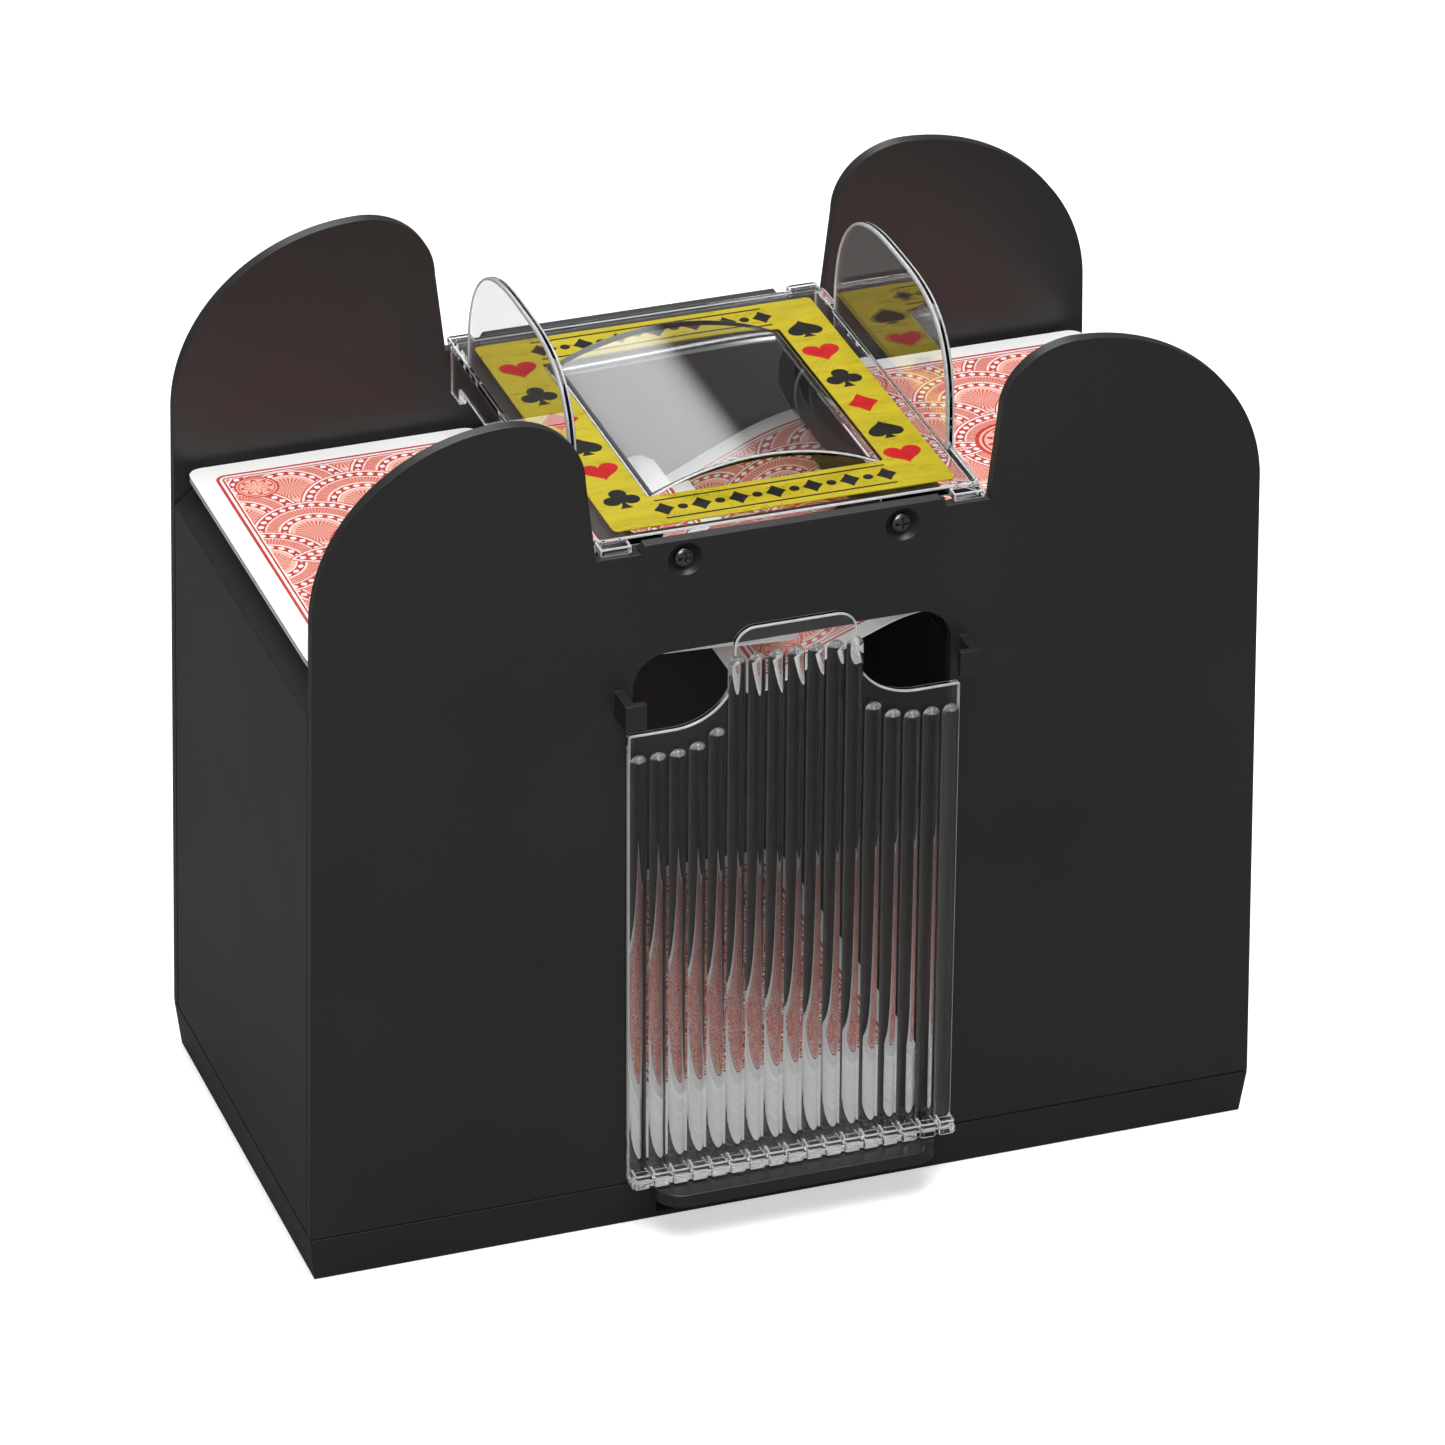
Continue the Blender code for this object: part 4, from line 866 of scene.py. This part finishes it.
def lid():
    """One clear moulding: plate, skirts, barrel-vault dome, two guide fins, clip tabs and legs."""
    plan = rounded_rectangle((-LID_HALF, -LID_LENGTH_HALF), (LID_HALF, LID_LENGTH_HALF), 2.4, 8)
    cover = rounded_solid("lid_detail", plan, LID_LOW, LID_TOP, "Z", 0.4, 2)
    inner_half = VIEW_HALF - DOME_THICK
    inner_front, inner_back = VIEW_FRONT + DOME_THICK, VIEW_BACK - DOME_THICK
    opening = bmesh.new()
    block(opening, (-inner_half, inner_front, LID_LOW - 5), (inner_half, inner_back, LID_TOP + 5))
    cut(cover, opening)
    sill = LID_TOP - 0.7
    arch = [(-VIEW_HALF, sill), (VIEW_HALF, sill)] + dome_arch(DOME_RISE, VIEW_HALF)
    dome = rounded_solid("dome", arch, VIEW_FRONT, VIEW_BACK, "Y", 0.35, 3)
    for face in dome.data.polygons:
        face.material_index = face.material_index or 2
    combine(cover, dome, "UNION")
    inner = bmesh.new()
    arch = [(-inner_half, LID_LOW - 5), (inner_half, LID_LOW - 5)]
    arch += dome_arch(DOME_RISE - DOME_THICK, inner_half)
    prism(inner, arch, inner_front, inner_back)
    cut(cover, inner)
    end = LID_LENGTH_HALF - 0.1
    top = LID_TOP - 1.2
    right = [(end - LEG_LENGTH, SKIRT_LOW), (end - LEG_LENGTH, LEG_LOW), (end, LEG_LOW), (end, top)]
    for side in (-1, 1):
        centre = side * FIN_X
        fin_span = (centre - FIN_THICK / 2, centre + FIN_THICK / 2)
        merge_solid(cover, fin_outline(), *fin_span, "X", 0.62, 4, degrees=50)
        merge_solid(cover, right + mirrored(right), *side_span(side, SKIRT_IN, SKIRT_OUT), "X", 0.3, 2)
        x0, x1 = side_span(side, TAB_IN, TAB_OUT)
        low, high = NOTCH_Z + GAP + 0.15, LID_TOP - 0.4
        for y0, y1 in ((FRONT + GAP, 1 - LID_LENGTH_HALF), (LID_LENGTH_HALF - 1, BACK - GAP)):
            merge_solid(cover, box_outline(x0, x1, low, high), y0, y1, "Y", 0.35, 2)
            inward = RIB_SHIFT if y0 < 0 else -RIB_SHIFT
            for x in (x0 + RIB_INSET, x1 - RIB_INSET):
                rib = box_outline(x - RIB_HALF, x + RIB_HALF, low + 0.6, high + 0.3)
                merge_solid(cover, rib, y0 + 0.3 + inward, y1 - 0.3 + inward, "Y", 0.15, 2)
    place(smoothed(cover, 40), "lid", "clear_plastic", "lid")


# ---- label ----

SUIT_SIZE = 8.2
SUIT_FIRST_Y, SUIT_STEP = 28.3, 12.1
SUIT_COLUMNS = (
    ("left", -30.6, ("heart", "club", "diamond", "spade", "heart", "club")),
    ("right", 30.2, ("spade", "heart", "club", "diamond", "spade", "heart")),
)
PRINT_THICK = 0.05
BORDER_ROWS = (("front", -39.2), ("rear", 35.6))
BORDER_STEP = 3.95  # from one printed mark to the next
BORDER_LINE_Y, BORDER_LINE_HALF = 3.9, 24.6


def shifted(outline, x, y):
    return [(x + a, y + b) for a, b in outline]


def heart_outline(size, flip=1):
    """A heart, or upside down with flip -1, as the top of a spade."""
    points = []
    for i in range(48):
        t = 2 * math.pi * i / 48
        x = 16 * math.sin(t) ** 3
        y = 13 * math.cos(t) - 5 * math.cos(2 * t) - 2 * math.cos(3 * t) - math.cos(4 * t)
        points.append((x * size / 33, flip * (y + 2) * size / 33))
    return points[::flip]


def stem_outline(size):
    """A waisted foot for spades and clubs."""
    half, low, high = size * 0.16, -size * 0.52, -size * 0.05
    right = [(half * (0.22 + 0.78 * (1 - k) ** 3), low + (high - low) * k) for k in (0, 0.2, 0.4, 0.7, 1)]
    return right + mirrored(right)


def disc_outline(x, y, radius):
    return arc(x, y, radius, radius, 0, 345, 23)


def diamond_outline(size):
    """A lozenge with slightly hollow sides."""
    corners = [(size * 0.40, 0), (0, size * 0.5), (-size * 0.40, 0), (0, -size * 0.5)]
    points = []
    for (x0, y0), (x1, y1) in zip(corners, corners[1:] + corners[:1]):
        points += [(x0, y0), ((x0 + x1) * 0.46, (y0 + y1) * 0.46)]
    return points


def suit_shapes(suit, size):
    if suit == "heart":
        return [heart_outline(size)]
    if suit == "diamond":
        return [diamond_outline(size)]
    if suit == "spade":
        return [heart_outline(size * 0.94, -1), stem_outline(size)]
    leaves = [(0, size * 0.24), (-size * 0.24, -size * 0.1), (size * 0.24, -size * 0.1)]
    reach, rise = size * 0.1, size * 0.14
    centre = [(reach, -rise), (reach, rise), (-reach, rise), (-reach, -rise)]
    return [disc_outline(x, y, size * 0.225) for x, y in leaves] + [centre, stem_outline(size)]


def printed(name, shapes, centre, mat, base):
    """Flat printed shapes, unioned into one thin solid on the label."""
    piece = None
    for outline in shapes:
        bm = bmesh.new()
        prism(bm, shifted(outline, *centre), base, base + PRINT_THICK, axis="Z")
        if piece is None:
            piece = add_mesh(name, bm, [mat])
        else:
            join(piece, bm)
    return piece


def label():
    """The foil with its window, and the printed suits and borders on it."""
    low, high = LABEL_LOW[2], LABEL_HIGH[2]
    outline = rounded_rectangle(LABEL_LOW[:2], LABEL_HIGH[:2], 1.2, 5)
    sheet = prism_mesh("lid_foil", outline, low, high, "Z", FOIL)
    opening = bmesh.new()
    half = VIEW_HALF + GAP
    inner = rounded_rectangle((-half, VIEW_FRONT - GAP), (half, VIEW_BACK + GAP), 0.8, 4)
    prism(opening, inner, low - 1, high + 1, axis="Z")
    cut(sheet, opening)
    soften(sheet, 0.06, 2)
    place(smoothed(sheet), "lid", "gold_foil", "lid_label")
    for name, x, suits in SUIT_COLUMNS:
        for i, suit in enumerate(suits):
            centre = (x, SUIT_FIRST_Y - SUIT_STEP * i)
            mat = RED_SUIT_INK if suit in ("heart", "diamond") else BLACK_INK
            mark = printed(f"printed_{suit}_{name}_{i + 1}", suit_shapes(suit, SUIT_SIZE), centre, mat, high)
            place(mark, "lid", "gold_foil")
    top = high + PRINT_THICK
    for name, y in BORDER_ROWS:
        bm = bmesh.new()
        for i in range(-6, 7):
            x = i * BORDER_STEP
            mark = disc_outline(x, y, 1.05) if i % 2 else shifted(diamond_outline(5.4), x, y)
            prism(bm, mark, high, top, "Z")
        for edge in (y - BORDER_LINE_Y, y + BORDER_LINE_Y):
            block(bm, (-BORDER_LINE_HALF, edge - 0.22, high), (BORDER_LINE_HALF, edge + 0.22, top))
        place(add_mesh(f"printed_border_{name}", bm, [BLACK_INK]), "lid", "gold_foil")


# ---- window cover ----

COVER_HALF = COVER_HIGH[0]
COVER_BASE = COVER_LOW[2]
COVER_TOP = COVER_HIGH[2]
COVER_SHOULDER = 117.6
COVER_TAB_HALF = 13.2
COVER_TAB_ROUND = 4.5
COVER_SCOOP_X, COVER_SCOOP_Z = 13.0, 11.0
COVER_PLATE = 1.6
FLUTES = 17
FLUTE_DEPTH = 1.5
FLUTE_MARGIN = 4.6
FLUTE_SHARE = 0.44  # a rib's half-width, as a share of the pitch
FOOT_SHARE = 0.4
LEDGE_HEIGHT, LEDGE_DEPTH = 3.4, 2.2


def cover_outline():
    corner = 1.0
    right = arc(COVER_HALF - corner, COVER_BASE + corner, corner, corner, -90, 0, 5)
    right += arc(COVER_HALF - 0.6, COVER_SHOULDER - 0.6, 0.6, 0.6, 0, 90, 4)
    scoop_x = COVER_TAB_HALF + COVER_SCOOP_X
    right += arc(scoop_x, COVER_SHOULDER + COVER_SCOOP_Z, COVER_SCOOP_X, COVER_SCOOP_Z, 270, 180, 30)
    tab_x = COVER_TAB_HALF - COVER_TAB_ROUND
    right += arc(tab_x, COVER_TOP - COVER_TAB_ROUND, COVER_TAB_ROUND, COVER_TAB_ROUND, 0, 90, 12)
    return right + mirrored(right)


def flute_top(x):
    """Height at which the flute at x ends, a little under the cover's edge."""
    away = abs(x)
    if away < COVER_TAB_HALF:
        return COVER_TOP - FLUTE_MARGIN - 1.4
    scoop = min(1.0, (away - COVER_TAB_HALF) / COVER_SCOOP_X)
    edge = COVER_SHOULDER + COVER_SCOOP_Z * (1 - math.sqrt(1 - (1 - scoop) ** 2))
    return edge - FLUTE_MARGIN


def flute(bm, x, face, half, low, top):
    """A rounded rib with a domed upper end, sunk a little into the plate."""
    sunk = face + 0.5
    across = [(a, FLUTE_DEPTH * b ** 2) for a, b in arc(0, 0, half, 1, 180, 0, 16)]
    rings = [(low, 1.0)]
    rings += [(top - half + half * math.sin(math.radians(a)), math.cos(math.radians(a)))
              for a in (0, 20, 40, 55, 68, 78, 85)]
    made = []
    for z, scale in rings:
        ring = [bm.verts.new((x + a * scale, face - b * scale, z)) for a, b in across]
        ring.append(bm.verts.new((x + half * scale, sunk, z)))
        ring.append(bm.verts.new((x - half * scale, sunk, z)))
        made.append(ring)
    for level, (a, b) in enumerate(zip(made, made[1:])):
        for i, j in ring_pairs(len(a)):
            side = bm.faces.new((a[i], a[j], b[j], b[i]))
            # The upper rings of the domed end take material 2, the whitish dimple material: a painted
            # highlight.
            side.material_index = 2 if level > 1 else 0
    bm.faces.new(made[0])
    bm.faces.new(made[-1]).material_index = 2


def window_cover():
    """The clear fluted cover, with domed rib ends and a ledge of little blocks along the bottom."""
    back = FRONT - GAP
    face = back - COVER_PLATE
    cover = rounded_solid("window_cover_detail", cover_outline(), face, back, "Y", 0.4, 3, mats=COVER_SET)
    pitch = 2 * COVER_HALF / FLUTES
    middles = [-COVER_HALF + pitch * (i + 0.5) for i in range(FLUTES)]
    for x in middles:
        ribs = bmesh.new()
        flute(ribs, x, face, pitch * FLUTE_SHARE, COVER_BASE + 0.4, flute_top(x))
        join(cover, ribs)
    front = face - FLUTE_DEPTH - LEDGE_DEPTH
    root = face + 0.4
    strip = box_outline(front + 0.8, root, COVER_BASE, COVER_BASE + 1.5)
    merge_solid(cover, strip, -COVER_HALF, COVER_HALF, "X", 0.25, 2, mats=COVER_SET)
    for x in middles:
        foot = rounded_rectangle((x - pitch * FOOT_SHARE, front), (x + pitch * FOOT_SHARE, root), 0.5, 3)
        merge_solid(cover, foot, COVER_BASE + 0.05, COVER_BASE + LEDGE_HEIGHT, "Z", 0.3, 2, 60, COVER_SET)
    place(smoothed(cover, 40), "window_cover", "clear_plastic", "window_cover")


# ---- cards ----

TRAY_LEVEL = span("left_fed_card")[1][2] - CARD_THICK / 2
# how far out a fed card's outer end lies, where its bend starts, the bend's radius and its slope
FED_CARDS = {"left": (57.5, 34.0, 150.0, 2.5), "right": (54.0, 34.0, 30.0, 21.5)}
SLID_CARDS = 5  # the top cards of a waiting stack have slid outward


def card_pile(name, node, body, seed, side=0):
    """Separate cards, each a hair out of line. On side -1 or 1 the top ones have slid outward.

    The UV map holds card coordinates, in millimetres from the top card's middle.
    """
    rng = random.Random(seed)
    low, high = span(node)
    half_x, half_y = CARD_WIDTH / 2, CARD_LENGTH / 2
    slid_x = low[0] + half_x if side < 0 else high[0] - half_x
    square_x = high[0] - half_x if side < 0 else low[0] + half_x
    slid_y, square_y = low[1] + half_y, high[1] - half_y
    count = int((high[2] - low[2]) / CARD_PITCH)
    bm = bmesh.new()
    for i in range(count):
        z = high[2] - CARD_THICK - i * CARD_PITCH
        slid = side and i < SLID_CARDS
        cx, cy = (slid_x, slid_y) if slid else (square_x, square_y)
        if i and slid:
            cx -= side * rng.uniform(0.0, 0.5)
            cy += rng.uniform(0.0, 0.4)
        elif i:
            cx += rng.uniform(-0.12, 0.12)
            cy += rng.uniform(-0.16, 0.16)
        outline = rounded_rectangle((cx - half_x, cy - half_y), (cx + half_x, cy + half_y), CARD_ROUND, 5)
        prism(bm, outline, z, z + CARD_THICK, axis="Z")
    pile = add_mesh(name, bm, [PAPER_EDGE, BACK_PRINT])
    for face in pile.data.polygons:
        face.material_index = 1 if face.normal.z > 0.9 else 0
    layer = pile.data.uv_layers.new(name="card")
    for loop in pile.data.loops:
        point = pile.data.vertices[loop.vertex_index].co
        layer.data[loop.index].uv = (point.x / MM - slid_x, point.y / MM - slid_y)
    place(pile, body, "playing_cards", node)


def droop_line(outer, bend_from, radius, slope):
    """Arc length, X and Z along a drooping card's middle, for the right bay."""
    points = [(0.0, outer, TRAY_LEVEL), (CARD_ROUND / 2, outer - CARD_ROUND / 2, TRAY_LEVEL),
              (CARD_ROUND, outer - CARD_ROUND, TRAY_LEVEL), (outer - bend_from, bend_from, TRAY_LEVEL)]
    reach = math.radians(slope)
    steps = 20
    for i in range(1, steps + 1):
        angle = reach * i / steps
        points.append((outer - bend_from + radius * angle, bend_from - radius * math.sin(angle),
                       TRAY_LEVEL - radius * (1 - math.cos(angle))))
    s, x, z = points[-1]
    for target in (CARD_WIDTH - CARD_ROUND, CARD_WIDTH - CARD_ROUND / 2, CARD_WIDTH):
        points.append((target, x - (target - s) * math.cos(reach), z - (target - s) * math.sin(reach)))
    return points


def fed_card(label, side):
    """A card half fed into the well, bent down over the edge of the tray."""
    node = label + "_fed_card"
    cy = middle(node)[1]
    half = CARD_THICK / 2
    bm = bmesh.new()
    uv = bm.loops.layers.uv.new("card")
    where = {}
    columns = []
    for s, x, z in droop_line(*FED_CARDS[label]):
        edge = min(s, CARD_WIDTH - s)
        trim = 0.0
        if edge < CARD_ROUND:
            trim = CARD_ROUND - math.sqrt(max(0.0, CARD_ROUND ** 2 - (CARD_ROUND - edge) ** 2))
        reach = CARD_LENGTH / 2 - trim
        column = []
        for y in (-reach, reach):
            for dz in (half, -half):
                vert = bm.verts.new((side * x, cy + y, z + dz))
                where[vert] = (side * (CARD_WIDTH / 2 - s), y)
                column.append(vert)
        columns.append(column)
    for a, b in zip(columns, columns[1:]):
        for i, j in ((0, 2), (2, 3), (3, 1), (1, 0)):
            bm.faces.new((a[i], a[j], b[j], b[i]))
    for end in (columns[0], columns[-1]):
        bm.faces.new((end[0], end[1], end[3], end[2]))
    for face in bm.faces:
        for loop in face.loops:
            loop[uv].uv = where[loop.vert]
    card = add_mesh(node + "_bent", bm, [PAPER_EDGE, BACK_PRINT])
    for face in card.data.polygons:
        face.material_index = 1 if face.normal.z > 0.6 else 0
    place(card, "housing", "playing_cards", node)


def cards():
    card_pile("shuffled_cards", "shuffled_card_stack", "housing", 13)
    for label, side in SIDES:
        card_pile(label + "_cards_waiting", label + "_card_stack", label + "_cards", 12 + side, side)
        fed_card(label, side)


# ---- inner parts and underside ----

def refine(node, mat, width=0.3):
    """Gives a CAD node its material, rounded edges and even shading."""
    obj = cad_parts[node]
    obj.data.materials.clear()
    obj.data.materials.append(mat)
    weld = obj.modifiers.new("weld", "WELD")
    weld.merge_threshold = 0.00001
    soften(obj, width, 2, 35)
    obj.modifiers.new("weighted", "WEIGHTED_NORMAL").keep_sharp = False


def inner_parts():
    # Parts given the inner plastic carry its painted shade, a darker copy of the black plastic.
    plain = {
        "base_pan": BLACK, "feed_frame": SHADED_INNER, "battery_box": SHADED_INNER, "battery_door": BLACK,
        "switch_body": SHADED_INNER, "front_contact_strip": STEEL, "rear_contact_strip": STEEL,
    }
    for node, mat in plain.items():
        refine(node, mat)
    for i in range(4):
        refine(f"battery_cell_{i + 1}", CELL)
    for label, _ in SIDES:
        for part, mat, width in (
                ("well_wall", SHADED_INNER, 0.3), ("tray_floor", SHADED_INNER, 0.3), ("bearing_plate", SHADED_INNER, 0.3),
                ("gear_plate", SHADED_INNER, 0.3), ("shaft_bush", BRASS, 0.1), ("motor", STEEL, 0.4),
                ("idler_pin", STEEL, 0.1), ("roller_shaft", STEEL, 0.1), ("roller_gear", NYLON, 0.08),
                ("idler_gear", NYLON, 0.08), ("motor_pinion", NYLON, 0.05),
                ("roller_tyre_front", RUBBER, 0.5), ("roller_tyre_rear", RUBBER, 0.5)):
            refine(f"{label}_{part}", mat, width)


# ---- stage ----

CAMERA_PLACE = (-0.4986, -1.4108, 0.9251)
CAMERA_YAW = 19.57
CAMERA_PITCH = 29.26
CAMERA_ROLL = 0.434
CAMERA_LENS = 204.2
FLOOR_HALF = 4000
BACK_LIGHT_WAY = (0.03, 0.82, 0.56)
BACK_LIGHT_CORE, BACK_LIGHT_EDGE = 11.0, 17.5
BACK_LIGHT_GLOW = 3.0
ROOM_GLOW = 0.17
LAMP_TARGET = (0.0, 0.0, 0.1)


def camera():
    data = bpy.data.cameras.new("camera")
    data.lens = CAMERA_LENS
    data.sensor_width = 36
    data.clip_start = 0.05
    data.clip_end = 50
    view = bpy.data.objects.new("camera", data)
    bpy.context.scene.collection.objects.link(view)
    turn = Matrix.Rotation(math.radians(-CAMERA_YAW), 4, "Z")
    tilt = Matrix.Rotation(math.radians(90 - CAMERA_PITCH), 4, "X")
    roll = Matrix.Rotation(math.radians(CAMERA_ROLL), 4, "Z")
    view.matrix_world = Matrix.Translation(CAMERA_PLACE) @ turn @ tilt @ roll
    bpy.context.scene.camera = view


def floor():
    """A pale floor. What the object mirrors of it is a duller grey than what the camera sees."""
    g = Graph("stage_floor")
    path = g.node("ShaderNodeLightPath")
    bounces = g.plus(path.outputs["Glossy Depth"], path.outputs["Diffuse Depth"])
    direct = g.below(bounces, 0.5)
    g.set(Base_Color=g.mix(direct, (0.17, 0.165, 0.16), (0.93, 0.93, 0.93)), Roughness=0.9,
          Specular_IOR_Level=0.1, Emission_Color=(1.0, 1.0, 1.0, 1.0),
          Emission_Strength=g.times(0.42, direct))
    bm = bmesh.new()
    corners = box_outline(-FLOOR_HALF, FLOOR_HALF, -FLOOR_HALF, FLOOR_HALF)
    bm.faces.new([bm.verts.new((x, y, -0.1)) for x, y in corners])
    add_mesh("stage_floor", bm, [g.mat])


def softbox(name, location, size, power):
    data = bpy.data.lights.new(name, "AREA")
    data.shape = "RECTANGLE"
    data.size, data.size_y = size
    data.energy = power
    lamp = bpy.data.objects.new(name, data)
    bpy.context.scene.collection.objects.link(lamp)
    lamp.location = location
    aim = Vector(LAMP_TARGET) - lamp.location
    lamp.rotation_euler = aim.to_track_quat("-Z", "Y").to_euler()


def studio_world():
    """A dim room with one round soft light high behind the object."""
    world = bpy.data.worlds.new("studio")
    bpy.context.scene.world = world
    world.use_nodes = True
    tree = world.node_tree
    background = tree.nodes["Background"]
    way = tree.nodes.new("ShaderNodeTexCoord")
    facing = tree.nodes.new("ShaderNodeVectorMath")
    facing.operation = "DOT_PRODUCT"
    facing.inputs[1].default_value = BACK_LIGHT_WAY
    tree.links.new(way.outputs["Generated"], facing.inputs[0])
    glow = tree.nodes.new("ShaderNodeMapRange")
    glow.interpolation_type = "SMOOTHSTEP"
    tree.links.new(facing.outputs["Value"], glow.inputs["Value"])
    edge, core = math.cos(math.radians(BACK_LIGHT_EDGE)), math.cos(math.radians(BACK_LIGHT_CORE))
    ends = {"From Min": edge, "From Max": core, "To Min": ROOM_GLOW, "To Max": BACK_LIGHT_GLOW}
    for key, value in ends.items():
        glow.inputs[key].default_value = value
    tree.links.new(glow.outputs["Result"], background.inputs["Strength"])
    background.inputs["Color"].default_value = (0.97, 0.98, 1.0, 1.0)


def lights():
    studio_world()
    softbox("overhead", (0.1, -0.05, 1.6), (1.3, 1.0), 22)
    softbox("high_front", (-0.25, -0.75, 1.6), (0.8, 0.6), 7)
    softbox("low_front", (-0.55, -2.0, 1.1), (1.1, 0.9), 21)
    bpy.context.scene.view_settings.view_transform = "Standard"


# ---- assembly ----

camera()
floor()
lights()
panel("front_shell", "front_panel", FRONT, -1, True)
panel("rear_shell", "rear_panel", BACK, 1, False)
for wall_label, wall_side in SIDES:
    end_wall(wall_label, wall_side)
push_button()
screws()
shelf()
lid()
label()
window_cover()
cards()
inner_parts()
